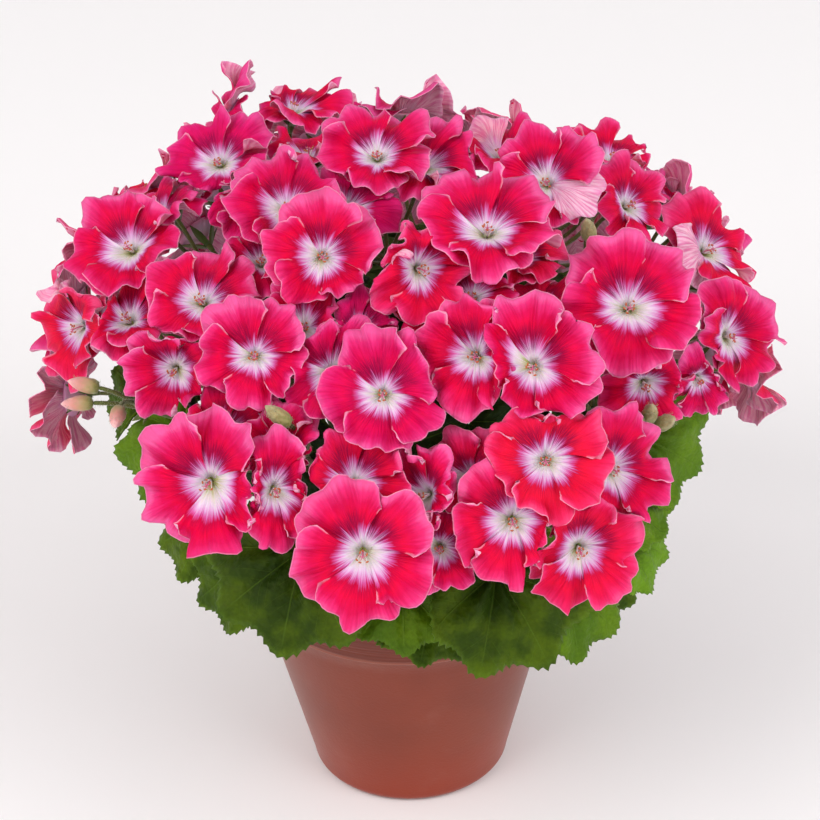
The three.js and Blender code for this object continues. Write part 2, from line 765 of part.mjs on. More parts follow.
function geometryFrom(solid) {
  const mesh = solid.getMesh();
  const geometry = new THREE.BufferGeometry();
  geometry.setAttribute("position", new THREE.BufferAttribute(mesh.vertProperties, 3));
  geometry.setIndex(new THREE.BufferAttribute(mesh.triVerts, 1));
  const flat = geometry.toNonIndexed();
  flat.computeVertexNormals();
  return flat;
}

function unionOf(solids) {
  return wasm.Manifold.union(solids);
}

function tube(points, radius, sides, steps) {
  const section = new THREE.Shape(
    Array.from({ length: sides }, (_, i) => {
      const angle = (2 * Math.PI * i) / sides;
      return new THREE.Vector2(radius * Math.cos(angle), radius * Math.sin(angle));
    })
  );
  const path = new THREE.CatmullRomCurve3(points);
  return new THREE.ExtrudeGeometry(section, { steps, extrudePath: path, bevelEnabled: false });
}

function mesh(name, geometry, colour, roughness) {
  const material = new THREE.MeshStandardMaterial({
    color: new THREE.Color(...colour.map((value) => value / 255)),
    roughness,
    metalness: 0,
  });
  const piece = new THREE.Mesh(geometry, material);
  piece.name = name;
  return piece;
}

// The hub where a head's pedicels meet, below the mean of its florets and buds
function placeHub(head) {
  const tops = [...head.florets, ...head.buds].map((item) => item.place);
  const mean = tops.reduce((sum, point) => sum.add(point), vec(0, 0, 0)).divideScalar(tops.length);
  const inward = vec(0, 0, STEM.crownHeight).sub(mean).normalize();
  const depth = head.florets.length > 0 ? HUB.depth : 0.5 * HUB.depth;
  const centre = mean.addScaledVector(inward, depth);
  head.hub = { centre, axis: inward.negate() };
}

function placeBuds(head) {
  head.buds = head.budRows.map((row) => {
    const place = onDome(row.x, row.y, row.out);
    const tip = onDome(row.tipX, row.tipY, row.out + BUD.lean);
    return { place, frame: frameAround(tip.sub(place), UP, 0) };
  });
}

function headMesh(head) {
  const hub = new THREE.CylinderGeometry(HUB.radius, 0.7 * HUB.radius, HUB.length, 6);
  const turn = new THREE.Quaternion().setFromUnitVectors(vec(0, 1, 0), head.hub.axis);
  hub.applyQuaternion(turn);
  hub.translate(head.hub.centre.x, head.hub.centre.y, head.hub.centre.z);
  const pieces = [solidFrom(hub)];
  pieces.push(...head.florets.map((floret) => floretSolid(floret, head.hub)));
  pieces.push(...head.buds.map((bud) => solidFromFaces(budFaces(bud, head.hub))));
  const colour = head.florets.length > 0 ? COLOUR.petal : COLOUR.bud;
  return mesh(head.name, geometryFrom(unionOf(pieces)), colour, 0.55);
}

// A leaf blade's middle surface in its own frame, round the foot: `angle` is 0 at the tip
function leafPoint(leaf, angle, share, tooth) {
  const side = Math.abs(angle) / Math.PI;
  const outline = LEAF.length - LEAF.sideLength * side - LEAF.sinus * smooth(0.6, 1, side);
  const distance = leaf.width * outline * share * (1 + LEAF.tooth * tooth * share);
  const wave = LEAF.wave * share * Math.sin(LEAF.waves * angle + leaf.phase);
  const bowl = LEAF.cup * share * (1 - LEAF.droop * share);
  return vec(distance * Math.sin(angle), distance * Math.cos(angle), leaf.width * (bowl + wave));
}

// The points and triangles of a leaf: a small triangle at the blade's foot, then the toothed blade
function leafSheet(leaf, size) {
  const steps = 2 * leaf.teeth;
  const angles = Array.from({ length: steps + 1 }, (_, i) => LEAF.sweep * ((2 * i) / steps - 1));
  const outline = angles.map((angle, i) => {
    const surface = (share) => leafPoint(leaf, degrees(angle), share * size, i % 2 ? 1 : -1);
    return fitBlade(leaf, surface, 0);
  });
  const normal = vec(0, 0, 0);
  outline.forEach((point, i) => {
    const next = outline[(i + 1) % outline.length].clone().sub(leaf.place);
    normal.add(next.cross(point.clone().sub(leaf.place)));
  });
  normal.normalize();
  const foot = ringAt(leaf.place, frameAround(normal, leaf.frame.y, 0), LEAF.footRadius, 3);
  const triangles = [[0, 2, 1]];
  let hinge = 2;
  for (let i = 0; i <= steps; i++) {
    const last = foot.length + i;
    if (i > 0) {
      triangles.push([hinge, last, last - 1]);
    }
    const passed = angles[i] >= (hinge === 2 ? -LEAF.footSweep : LEAF.footSweep);
    if (hinge !== 1 && passed) {
      triangles.push([hinge, (hinge + 1) % 3, last]);
      hinge = (hinge + 1) % 3;
    }
  }
  return { points: [...foot, ...outline], triangles, normal };
}

// One leaf, on the petiole that starts at `start` and widens into the blade's foot
function leafSolid(leaf, start) {
  const drawn = fitSheet(leaf, (size) => leafSheet(leaf, size));
  const [foot, ...blade] = drawn.triangles;
  const sheet = makeSheet(drawn.points, drawn.triangles, LEAF.thickness);
  const length = leaf.place.distanceTo(start);
  const bend = leaf.place.clone().addScaledVector(leaf.frame.z, -LEAF.petioleBend.back * length);
  bend.addScaledVector(leaf.frame.y, -LEAF.petioleBend.down * length);
  const curve = new THREE.CubicBezierCurve3(leaf.place, bend, bend.clone().lerp(start, 0.5), start);
  const rings = [1, 2, 3].map((step) => {
    const along = turnedFrame(leaf.frame, curve.getTangent(step / 3).negate());
    return ringAt(curve.getPoint(step / 3), along, LEAF.petioleRadius, 3);
  });
  const faces = [foot.map((index) => sheet.top[index])];
  faces.push(...rimFaces(sheet, 0, 2), ...rimFaces(sheet, 2, 1), ...rimFaces(sheet, 1, 0));
  stitch(faces, rings[0], sheet.bottom.slice(0, 3));
  closeStalk(faces, rings);
  return unionOf([solidFromFaces(faces), ...blade.map((triangle) => wedgeSolid(sheet, triangle))]);
}

// Each branch leaves the trunk just above the soil and ends in a crown, which bears stalks
function branchPath(index) {
  const angle = degrees((360 * (index + 0.5)) / STEM.branches);
  const at = (radius, height) => vec(radius * Math.sin(angle), -radius * Math.cos(angle), height);
  const middle = at(0.5 * STEM.crownCircle, 0.5 * (STEM.trunkTop + STEM.crownHeight));
  return [at(0, STEM.trunkTop - 2 * STEM.branchRadius), middle, at(STEM.crownCircle, STEM.crownHeight)];
}

function branchIndex(point) {
  const turn = THREE.MathUtils.radToDeg(Math.atan2(point.x, -point.y));
  return Math.floor((((turn + 360) % 360) * STEM.branches) / 360);
}

// A three-sided stalk from a branch to its end, which it meets along `axis`
function stalkSolid(start, end, axis, radius) {
  const before = end.clone().addScaledVector(axis, -0.3 * end.distanceTo(start));
  const curve = new THREE.CubicBezierCurve3(start, start.clone().lerp(before, 0.5), before, end);
  return solidFrom(tube(curve.getPoints(3), radius, 3, 3));
}

function branchSolids(index, heads, leaves) {
  const path = branchPath(index);
  const [fork, crown] = path.slice(-2);
  const stalkStart = (stalks, share) => crown.clone().lerp(fork, stalks.from + stalks.spread * share);
  const pieces = [solidFrom(tube(path, STEM.branchRadius, STEM.sides, 3))];
  const ownHeads = heads.filter((head) => branchIndex(head.hub.centre) === index);
  ownHeads.forEach((head, i) => {
    const start = stalkStart(STEM.headStalks, i / ownHeads.length);
    const end = head.hub.centre.clone().addScaledVector(head.hub.axis, -(HUB.length / 2 + GAP));
    pieces.push(stalkSolid(start, end, head.hub.axis, PEDUNCLE_RADIUS));
  });
  const ownLeaves = leaves.filter((leaf) => branchIndex(leaf.place) === index);
  ownLeaves.forEach((leaf, i) => {
    const start = stalkStart(STEM.leafStalks, i / ownLeaves.length);
    pieces.push(leafSolid(leaf, start));
  });
  return pieces;
}

// All that is green grew as one piece: a trunk, its branches, and their leaves and flower stalks
function stemsMesh(heads, leaves) {
  const foot = SOIL.height - SOIL.holeDepth + GAP;
  const height = STEM.trunkTop - foot;
  const trunk = new THREE.CylinderGeometry(0.8 * STEM.trunkRadius, STEM.trunkRadius, height, 8);
  trunk.rotateX(Math.PI / 2);
  trunk.translate(0, 0, 0.5 * (STEM.trunkTop + foot));
  const pieces = [solidFrom(trunk)];
  for (let i = 0; i < STEM.branches; i++) {
    pieces.push(...branchSolids(i, heads, leaves));
  }
  return mesh("stems_and_leaves", geometryFrom(unionOf(pieces)), COLOUR.leaf, 0.7);
}

// A lathed body that stands on +Z
function lathe(profile, sides) {
  const points = profile.map(([radius, height]) => new THREE.Vector2(radius, height));
  const geometry = new THREE.LatheGeometry(points, sides);
  geometry.rotateX(Math.PI / 2);
  return geometry;
}

function potWallRadius(height) {
  const rimFoot = POT.height - POT.rimBand;
  return POT.baseRadius + ((POT.rimRadius - POT.rimLip - POT.baseRadius) * height) / rimFoot;
}

function potMesh() {
  const rimFoot = POT.height - POT.rimBand;
  const corner = POT.baseCorner;
  const profile = [
    [0, 0],
    [POT.baseRadius - corner + 1, 0],
    [potWallRadius(0.3 * corner) - 0.25 * corner, 0.3 * corner],
    [potWallRadius(corner), corner],
    [POT.rimRadius - POT.rimLip, rimFoot],
    [POT.rimRadius, rimFoot + 0.5],
    [POT.rimRadius + 1, POT.height - 1],
    [POT.rimRadius + 0.4, POT.height],
    [POT.rimRadius + 0.8 - POT.wall, POT.height],
    [potWallRadius(corner) - POT.wall, corner],
    [POT.baseRadius - POT.wall - 1.5, POT.floor],
    [0, POT.floor],
  ];
  let pot = solidFrom(lathe(profile, POT.sides));
  for (let i = 0; i < POT.drainHoles; i++) {
    const angle = (2 * Math.PI * (i + 0.5)) / POT.drainHoles;
    const hole = new THREE.CylinderGeometry(POT.drainRadius, POT.drainRadius, 4 * POT.floor, 8);
    hole.rotateX(Math.PI / 2);
    hole.translate(POT.drainCircle * Math.sin(angle), POT.drainCircle * Math.cos(angle), 0);
    pot = pot.subtract(solidFrom(hole));
  }
  return mesh("pot", geometryFrom(pot), COLOUR.pot, 0.5);
}

function soilMesh() {
  const insideRadius = (height) => {
    const share = (height - POT.baseCorner) / (POT.height - POT.baseCorner);
    const low = potWallRadius(POT.baseCorner) - POT.wall;
    return low + (POT.rimRadius + 0.8 - POT.wall - low) * share - 2 * GAP;
  };
  const profile = [
    [0, POT.floor + GAP],
    [POT.baseRadius - POT.wall - 2.2, POT.floor + GAP],
    [insideRadius(POT.baseCorner + 1), POT.baseCorner + 1],
    [insideRadius(SOIL.height - SOIL.mound), SOIL.height - SOIL.mound],
    [0, SOIL.height],
  ];
  const radius = (STEM.trunkRadius + GAP) / Math.cos(Math.PI / SOIL.holeSides);
  const hole = new THREE.CylinderGeometry(radius, radius, 2 * SOIL.holeDepth, SOIL.holeSides);
  hole.rotateX(Math.PI / 2);
  hole.translate(0, 0, SOIL.height);
  const soil = solidFrom(lathe(profile, SOIL.sides)).subtract(solidFrom(hole));
  return mesh("soil", geometryFrom(soil), COLOUR.soil, 0.95);
}

function buildPlant() {
  const random = randomFrom(SEED);
  const budHead = { name: "head_left_buds", florets: [], budRows: BUDS_SEEN.left_buds };
  const heads = [...seenHeads(random), ...rearHeads(random), budHead];
  const leaves = makeLeaves(random);
  separate([...heads.flatMap((head) => head.florets), ...leaves]);
  for (const head of heads) {
    placeBuds(head);
    placeHub(head);
  }
  return [stemsMesh(heads, leaves), ...heads.map(headMesh)];
}

const group = new THREE.Group();
group.add(potMesh(), soilMesh(), ...buildPlant());

export default group;
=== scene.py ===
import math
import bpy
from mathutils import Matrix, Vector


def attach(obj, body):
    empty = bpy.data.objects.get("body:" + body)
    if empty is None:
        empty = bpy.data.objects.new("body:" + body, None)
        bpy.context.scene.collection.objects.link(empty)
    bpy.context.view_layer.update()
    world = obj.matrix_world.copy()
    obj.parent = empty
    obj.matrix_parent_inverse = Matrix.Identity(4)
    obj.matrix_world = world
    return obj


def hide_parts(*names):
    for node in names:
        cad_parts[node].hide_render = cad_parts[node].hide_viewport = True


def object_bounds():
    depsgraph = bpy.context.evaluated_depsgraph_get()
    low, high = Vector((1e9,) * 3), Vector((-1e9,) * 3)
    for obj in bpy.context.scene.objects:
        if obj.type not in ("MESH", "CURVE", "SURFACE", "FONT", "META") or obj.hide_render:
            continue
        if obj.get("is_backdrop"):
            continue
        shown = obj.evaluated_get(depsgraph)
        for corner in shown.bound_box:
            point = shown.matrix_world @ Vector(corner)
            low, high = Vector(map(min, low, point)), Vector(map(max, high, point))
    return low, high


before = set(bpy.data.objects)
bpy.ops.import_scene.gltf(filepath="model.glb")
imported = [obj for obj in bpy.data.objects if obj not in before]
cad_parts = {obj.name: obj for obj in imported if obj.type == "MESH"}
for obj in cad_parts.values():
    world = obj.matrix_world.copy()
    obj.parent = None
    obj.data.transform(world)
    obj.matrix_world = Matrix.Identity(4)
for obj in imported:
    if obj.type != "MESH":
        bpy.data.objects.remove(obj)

# The looks of a potted pelargonium in full flower. The rules and values that place the flowers and
# leaves repeat those of the solids. Geometry is worked out in millimetres and stored in metres.

from types import SimpleNamespace as Record

import bpy
import numpy as np
from mathutils import Matrix

CAD_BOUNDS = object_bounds()
MM = 0.001

# Driving dimensions, in millimetres and degrees, as in the solids. A floret's lengths are shares of
# its radius, apart from its calyx, and a leaf's are shares of its width
GAP = 0.3
POT = Record(
    height=98, rim_radius=60.6, rim_band=13.6, rim_lip=0.7, base_radius=38.8, base_corner=5,
    wall=2.2, floor=2.4, drain_holes=6, drain_radius=4, drain_circle=24,
    # warm_foot: the heights of a painted reflected glow at the pot's foot
    sides=144, warm_foot=(42, 4),
)
RIM_FOOT = POT.height - POT.rim_band
SOIL = Record(height=88, mound=2.5, gap=1, shrunk=0.4)
DOME = Record(radius=132, rise=104, centre_height=170)
FLORET = Record(
    tube=0.45, upper_length=1.05, lower_length=0.98, cup=0.42, cup_rate=2.2, reflex=0.1,
    ruffle=0.07, ruffle_turns=4.2, petals=5, calyx=7, middle=0.6,
)
BUD = Record(length=13, radius=2.9, lean=9, wide_at=0.3)
HUB = Record(depth=34, bud_depth=17)
LEAF = Record(
    length=0.56, side_length=0.06, sinus=0.16, middle=0.22, reach=0.42, sweep=160,
    cup=0.12, droop=1.6, wave=0.05, waves=3,
)
STEM = Record(
    trunk_top=98, branches=6, branch_radius=3, crown_circle=42, crown_height=138,
    head_stalks=(0.05, 0.5), leaf_stalks=(0.6, 0.7),
)
WALL = Record(
    margin=0.85, layer=0.7, tilt=9, spare=12, reach=75, foot=2, passes=24, bend=0.35,
)
REACHES = np.linspace(0.52, 1, 9)

# The photo's camera: x and y below are pixels of its 820 by 820 frame
VIEW = Record(tilt=31.4, distance=1200, focal=3078, aim_x=3.1, aim_z=163, roll=-1.47, middle=410)

# Flower heads that the photo shows. Of each floret: the pixel of its throat, its width, the degrees
# that it faces right and up of the camera, the turn of its upper petals, and how far it stands out
HEADS_SEEN = {
    "top_left": [
        (222, 167, 42, -15, 25, 0, 3),
        (236, 122, 42, -80, 30, 0, 0),
        (240, 207, 36, 35, 10, 20, -2),
        (165, 222, 40, -40, 52, -20, 0),
    ],
    "top_left_rear": [(292, 117, 42, 15, 60, 0, 1), (308, 163, 40, 20, 70, 30, -7)],
    "upper_left": [
        (287, 212, 44, 5, 25, 0, 0),
        (322, 257, 43, 8, 5, 25, 6),
        (262, 268, 34, 0, 45, 10, -6),
    ],
    "left": [
        (135, 254, 46, -25, 32, -10, 3),
        (88, 325, 46, -55, -5, -10, 0),
        (132, 325, 40, -20, 40, 20, -4),
    ],
    "left_middle": [
        (205, 306, 42, -10, 30, 35, 0),
        (255, 356, 40, 0, 8, 0, 6),
        (178, 367, 38, -20, -15, 10, 0),
        (303, 330, 38, 10, 22, 20, -5),
    ],
    "top_middle": [
        (378, 162, 42, -5, 35, 0, 3),
        (422, 172, 44, 15, 40, 30, -3),
        (345, 214, 42, 0, 30, 0, -7),
    ],
    "centre": [
        (415, 268, 46, 30, 0, 0, 3),
        (487, 238, 50, 0, 36, 0, 6),
        (430, 303, 36, -10, 30, 10, -6),
        (518, 264, 36, 0, 45, 20, -4),
    ],
    "top_right_rear": [
        (500, 163, 42, 5, 60, 0, -4),
        (548, 186, 42, -10, 20, 5, 3),
        (610, 168, 42, 15, 58, 0, -2),
    ],
    "right": [
        (622, 208, 36, 45, 20, 0, 1),
        (668, 210, 38, 38, 55, 0, -3),
        (700, 254, 44, 45, 25, 0, 2),
    ],
    "right_big": [(627, 310, 50, 5, 15, 0, 8), (541, 314, 36, -5, 30, 0, -6)],
    "far_right": [
        (722, 336, 42, 42, 0, 10, 2),
        (695, 375, 30, 30, -30, 0, -3),
        (642, 380, 36, 15, -25, 0, -6),
    ],
    "centre_right": [
        (478, 356, 45, -10, 5, 15, 3),
        (534, 366, 48, -5, 0, 20, 6),
        (472, 300, 36, 0, 25, 0, -5),
    ],
    "centre_left": [
        (332, 371, 40, 0, 5, -10, 0),
        (383, 394, 44, 0, 5, 10, 3),
        (358, 335, 34, 10, 20, 0, -7),
    ],
    "lower_right": [(545, 460, 46, 0, 5, 0, 5), (606, 468, 44, 35, 0, 20, 2)],
    "low_right": [
        (512, 518, 46, 0, -5, 0, 2),
        (577, 545, 44, 15, -15, 20, 4),
        (474, 478, 34, -10, 5, 0, -6),
        (432, 494, 40, -40, 0, 0, -1),
    ],
    "low_centre": [
        (355, 484, 46, -5, 10, 0, 0),
        (363, 550, 50, 0, -5, 0, 8),
        (440, 545, 32, 0, -10, 30, -6),
    ],
    "low_left": [
        (212, 480, 50, -15, -5, -15, 5),
        (272, 488, 42, 20, -5, 10, 3),
        (225, 436, 40, -10, 25, 10, -4),
        (290, 456, 38, -35, 10, 30, -1),
    ],
}

# Petals whose pale backs the photo shows, by head: the floret's and the petal's number, and how pale
PALE_SEEN = {
    "top_right_rear": {(0, 4): 0.6, (1, 1): 0.9},
    "right": {(2, 3): 0.85},
}

# Buds that the photo shows, by head: the pixels of the foot and the tip, and how far it stands out
BUDS_SEEN = {
    "low_left": [(290, 425, 268, 408, 6)],
    "top_right_rear": [(590, 240, 587, 222, 0)],
    "left_buds": [(100, 388, 68, 381, 0), (94, 403, 62, 404, 0), (120, 408, 113, 431, 0)],
    "far_right": [(640, 424, 626, 414, -6), (648, 420, 652, 406, -6), (656, 426, 670, 420, -6)],
}

# Leaves that the photo shows: the pixel of the blade's foot, how far that lies in front of the pot's
# axis, the blade's width, the degrees that it faces right and up, where its tip points, from up, and
# its tint from old to young
LEAVES_SEEN = [
    (303, 550, 84, 66, -8, 12, 192, -0.1),
    (252, 560, 66, 50, -28, 10, 238, 0.1),
    (496, 572, 84, 66, 8, 14, 150, 0.1),
    (560, 585, 62, 52, 25, 10, 125, 0.4),
    (402, 585, 84, 44, 0, 22, 178, 0.3),
    (430, 600, 60, 44, 6, 20, 190, 0.2),
    (637, 436, 30, 56, 24, 0, 112, 0.6),
    (634, 402, 12, 48, 22, 14, 80, 0.2),
    (628, 500, 40, 42, 34, 4, 95, 0.6),
    (622, 540, 46, 42, 30, 4, 105, 0.5),
    (586, 572, 30, 40, 20, 8, 120, 0.2),
    (182, 434, 32, 52, -24, 8, 256, 0.4),
    (150, 398, 18, 38, -30, 10, 262, 0.1),
    (212, 520, 46, 46, -28, 8, 250, 0.0),
]

# Hidden leaves and heads follow rules: a ring of leaves round the back, leaves spread over a smaller
# dome under the flowers, and rings of heads
REAR_LEAVES = Record(count=9, start=104, end=256, radius=74, low=128, high=152, width=62, facing=38)
INNER_LEAVES = Record(
    count=17, turn=137.5, radius=82, rise=58, centre_height=164, lowest=-10, highest=74, width=54,
)
LEAF_TURN = Record(droop=0.6, spread=20)
# Hidden leaves take a tint near the dark end: painted shade for the shade inside and behind the crown
HIDDEN_SHADE_TINT = -0.8
REAR_RINGS = [
    Record(name="rear_low", heads=5, florets=3, start=110, end=250, rise=1, ring=21),
    Record(name="rear_high", heads=3, florets=4, start=144, end=206, rise=26, ring=24),
    Record(name="rear_side", heads=2, florets=3, start=122, end=240, rise=28, ring=18),
]
REAR_FLORET = Record(width=42, spread=8, shift=0.4, step=4, lean=0.1, lean_spread=0.2, roll=40)
SEED = 20250617
UP = np.array((0.0, 0.0, 1.0))
ALONG = np.linspace(0, 1, 5)[:, None]

# Fine detail that the solids don't have. Radii, thicknesses, margins and the forms of sepals, bracts,
# hairs, rim and crumbs are in millimetres, and other lengths are shares of the floret's radius, the
# leaf's width, or the bud's or stalk's length. Many pairs say where an effect starts and where it is full
PETAL = Record(
    seen_grid=(13, 27), hidden_grid=(9, 19), start=0.05, crowding=1.15, size=1.06, roundness=0.25,
    corner=0.06, thickness=0.34, margin_thickness=0.2, margin=3, foot=(0.6, 0.3),
    base_overlap=7, upper_overlap=12, lower_overlap=9, widening=(0.1, 0.75),
    stagger=0.14, layering=(0.12, 0.8), swelling=(0.3, 1), calm=0.75, calming=(0.3, 0.8),
    lift=0.05, overlaid=(0.3, 0.75), frill=0.1, crimp=0.038, scallop=0.055, notch=0.022,
    billow=0.035, billowing=(0.2, 0.5), squeezed=(0.35, 0.85), turn=4,
    fewest_waves=(8, 16, 5, 14, 4), most_waves=(12, 21, 9, 20, 7), head_tints=(-0.5, 0.6),
    tint_spread=0.35, seeds=400, reach_blur=4, bend_blur=3, room_blur=2,
)
SWELL = Record(waves=(2, 3, 5, 7), sizes=(0.11, 0.1, 0.065, 0.06))
THROAT = Record(grid=(6, 18), start=0.005, end=0.42, depth=0.03, slope=0.1, thickness=0.25)
STAMEN = Record(
    count=6, lean=0.05, back=0.6, length=0.24, spread=0.1, foot=0.02, bend=(0.4, 0.4, 0.5),
    radii=(0.32, 0.24, 0.2, 0.16), anther=0.6, tilt=0.3, anther_radii=(0.14, 0.36, 0.36, 0.14),
    sides=4, anther_sides=5,
)
STYLE = Record(
    tip=(0, -0.06, 0.3), radius=0.28, sides=5, stigmas=5, rise=0.35, hook=1.7, droop=0.1,
    radii=(0.2, 0.16, 0.08), stigma_sides=4,
)
CALYX = Record(heights=(-5, -3, -1.2), radii=(0.85, 1.25, 1.5, 1.2), sides=8, tint=0.2)
SEPAL = Record(
    count=5, columns=3, start=1.2, reach=0.34, spread=0.06, half=1.5, foot=0.22, tip=0.12, depth=2.1,
    droop=0.1, fold=0.25, thickness=0.4, turn=0.1, tint=0.25,
)
KNOT = Record(heights=(-2.0, -1.2, 0.4, 1.4), radii=(1.6, 2.4, 2.3, 1.2), sides=9, tint=0.35)
BRACT = Record(
    count=6, columns=5, start=1.4, reach=5.5, half=1.6, foot=0.3, tip=0.1, depth=1.5, rise=2.2,
    fold=0.4, thickness=0.35, turn=0.4, tint=0.3,
)
FINE_BUD = Record(
    rows=13, sides=20, foot=0.55, tip=0.08, taper=1.3, ridges=5, ridge=0.07, crease=0.04, twist=0.12,
    young=0.75, downy=0.85,
)
PEDICEL = Record(steps=10, sides=7, radii=(0.8, 0.95), swell=0, tints=(0.3, 0.6), bend=0.45)
PEDUNCLE = Record(steps=16, sides=9, radii=(1.9, 1.5), swell=0, tints=(0.1, 0.4), bend=0.3, seat=1.6)
PETIOLE = Record(
    steps=14, sides=8, radii=(0.9, 1.35), swell=0, tints=(0.05, 0.3), under=0.25, behind=0.15,
)
BRANCH = Record(steps=14, sides=12, radii=(3.4, 2.6), swell=0.25, tints=(0.45, 0.45), rise=2)
TRUNK = Record(steps=8, sides=16, radii=(6.0, 4.9), swell=0, tints=(0.6, 0.6), depth=6)
# Hairs of each kind of stalk: its radius there, how many, and how long
HAIR = Record(
    half=0.06, shortest=0.5, longest=1.2, sway=0.25, sunk=0.85, pedicel=(0.85, 90, 0.9),
    bud_stalk=(0.85, 160, 1.2), bud=(0.8 * BUD.radius, 260, 1.2), petiole=(1.0, 120, 1.0),
    peduncle=(1.5, 160, 1.0),
)
FINE_LEAF = Record(
    seen=(11, 3), hidden=(6, 2), inner=(0.03, 0.84), lobes=7, lobe=0.075, teeth=64, tooth=0.043,
    tooth_at=0.25, peak=0.6, curve=1.1, level=0.4, toothed=(0.88, 1.0), uneven=0.5,
    uneven_turns=15.9, quilt=0.055, crisp=0.014, crisp_turns=17,
    crisped=(0.6, 1), sinus=(0.6, 1), thickness=0.45, margin=(0.9, 0.95, 1.0),
    rib_lean=1.3, rib_spacing=4.5, tint_spread=0.15, reach_blur=12, bend_blur=4,
)
LEAF_SECTOR = math.radians(2 * LEAF.sweep) / (FINE_LEAF.lobes + 1)
RIM = Record(
    flare=0.9, foot=0.6, side=11.4, groove=0.15, step=0.25, bead=0.4, bead_steps=4, corner=0.1,
)
POT_STEPS = Record(corner=7, wall=14, side=9, lip=9, inside=10, hole=24)
SOIL_TOP = Record(steps=26, sides=96, wave=0.7, along=(0.9, 1.3, 0.5), across=(0.31, 0.8), uneven=0.35)
CRUMBS = Record(
    count=340, spare=2.5, trunk=7, lift=0.2, sizes=(0.7, 1.9), lengths=(0.8, 2.2), flatness=0.35,
    radii=(0.4, 1.0, 0.9, 0.3), widths=(0.7, 1.2), sides=6,
)

# The stage and its lights, in metres and watts
STAGE = Record(rings=(0.001, 0.6, 1.3), corner_at=2.0, corner=0.9, wall=1.5, sides=96)
AIM = (0, 0, 0.15)
LIGHTS = [
    ("key", (-1.25, -1.25, 1.8), 1.5, 26, (1.0, 0.985, 0.97)),
    ("fill", (1.4, -1.35, 1.7), 1.6, 25, (0.98, 0.99, 1.0)),
]
WORLD_STRENGTH = 0.62
SENSOR = 36


def unit(vector):
    return vector / np.linalg.norm(vector, axis=-1, keepdims=True)


def smooth(low, high, value):
    share = np.clip((value - low) / (high - low), 0, 1)
    return share * share * (3 - 2 * share)


def polar(distance, angle, height):
    return np.stack((distance * np.sin(angle), distance * np.cos(angle), height), axis=-1)


def draws_from(seed):
    """The solids' small seeded generator, so that every build is the same."""
    state = seed
    word = 0xFFFFFFFF
    while True:
        state = (state + 0x6D2B79F5) & word
        mixed = ((state ^ (state >> 15)) * (state | 1)) & word
        mixed ^= (mixed + (mixed ^ (mixed >> 7)) * (mixed | 61)) & word
        yield (mixed ^ (mixed >> 14)) / 2**32


def camera_frame():
    tilt = math.radians(VIEW.tilt)
    roll = math.radians(VIEW.roll)
    forward = np.array((0, math.cos(tilt), -math.sin(tilt)))
    level = np.array((1.0, 0, 0))
    upright = np.cross(level, forward)
    right = level * math.cos(roll) + upright * math.sin(roll)
    up = upright * math.cos(roll) - level * math.sin(roll)
    eye = np.array((VIEW.aim_x, 0, VIEW.aim_z)) - forward * VIEW.distance
    return Record(forward=forward, right=right, up=up, eye=eye)


CAMERA = camera_frame()


def sight_line(x, y):
    across = CAMERA.right * (x - VIEW.middle) / VIEW.focal
    return unit(CAMERA.forward + across + CAMERA.up * (VIEW.middle - y) / VIEW.focal)


def on_dome(x, y, out):
    """Where a line of sight meets the dome that stands `out` beyond the mean one."""
    line = sight_line(x, y)
    radii = np.array((DOME.radius, DOME.radius, DOME.rise)) + out
    start = (CAMERA.eye - UP * DOME.centre_height) / radii
    step = line / radii
    a = step @ step
    b = step @ start
    root = math.sqrt(max(b * b - a * (start @ start - 1), 0))
    return CAMERA.eye + line * (-b - root) / a


def dome_normal(point):
    radii = np.array((DOME.radius, DOME.radius, DOME.rise))
    return unit((point - UP * DOME.centre_height) / radii**2)


def outward_at(azimuth):
    """The level direction away from the pot's axis, by its degrees from the front."""
    side = math.radians(azimuth)
    return np.array((math.sin(side), -math.cos(side), 0))


def dome_point(azimuth, rise):
    lift = math.radians(rise)
    height = DOME.centre_height + DOME.rise * math.sin(lift)
    return outward_at(azimuth) * DOME.radius * math.cos(lift) + UP * height


def facing(right, up):
    side = math.radians(right)
    lift = math.radians(up)
    level = CAMERA.right * math.sin(side) - CAMERA.forward * math.cos(side)
    return level * math.cos(lift) + CAMERA.up * math.sin(lift)


def axes_around(axis, guide, roll=0.0):
    """Rows x, y and z: z is the axis and y the guide, turned clockwise by `roll` degrees."""
    z = unit(axis)
    y = unit(guide - z * (guide @ z))
    turn = -math.radians(roll)
    y = y * math.cos(turn) + np.cross(z, y) * math.sin(turn)
    return np.array((np.cross(y, z), y, z))


def to_world(blade, local):
    return blade.place + local @ blade.axes


# Where florets and leaves stand


def make_floret(place, axis, guide, roll, width, random):
    axes = axes_around(axis, guide, roll)
    phases = [next(random) * 2 * math.pi for _ in range(FLORET.petals)]
    radius = width / 2
    middle = place + axes[2] * FLORET.middle * FLORET.cup * radius
    return Record(
        place=place, axes=axes, radius=radius, phases=phases, middle=middle, size=radius,
        outward=dome_normal(middle), walls=[], seen=False,
    )


def seen_heads(random):
    heads = []
    for name, rows in HEADS_SEEN.items():
        florets = [
            make_floret(on_dome(x, y, out), facing(right, up), CAMERA.up, roll, width, random)
            for x, y, width, right, up, roll, out in rows
        ]
        for floret in florets:
            floret.seen = True
        heads.append(Record(name=name, florets=florets, bud_rows=BUDS_SEEN.get(name, [])))
    return heads


def rear_floret(centre, axes, turn, ring, out, random):
    place = centre + ring * (axes[0] * math.sin(turn) + axes[1] * math.cos(turn))
    normal = dome_normal(place)
    seat = place - UP * DOME.centre_height
    reach = np.linalg.norm(seat / np.array((DOME.radius, DOME.radius, DOME.rise)))
    seat = seat / reach + normal * out + UP * DOME.centre_height
    lean = REAR_FLORET.lean + REAR_FLORET.lean_spread * next(random)
    roll = REAR_FLORET.roll * (next(random) - 0.5)
    width = REAR_FLORET.width + REAR_FLORET.spread * next(random)
    return make_floret(seat, normal + UP * lean, UP, roll, width, random)


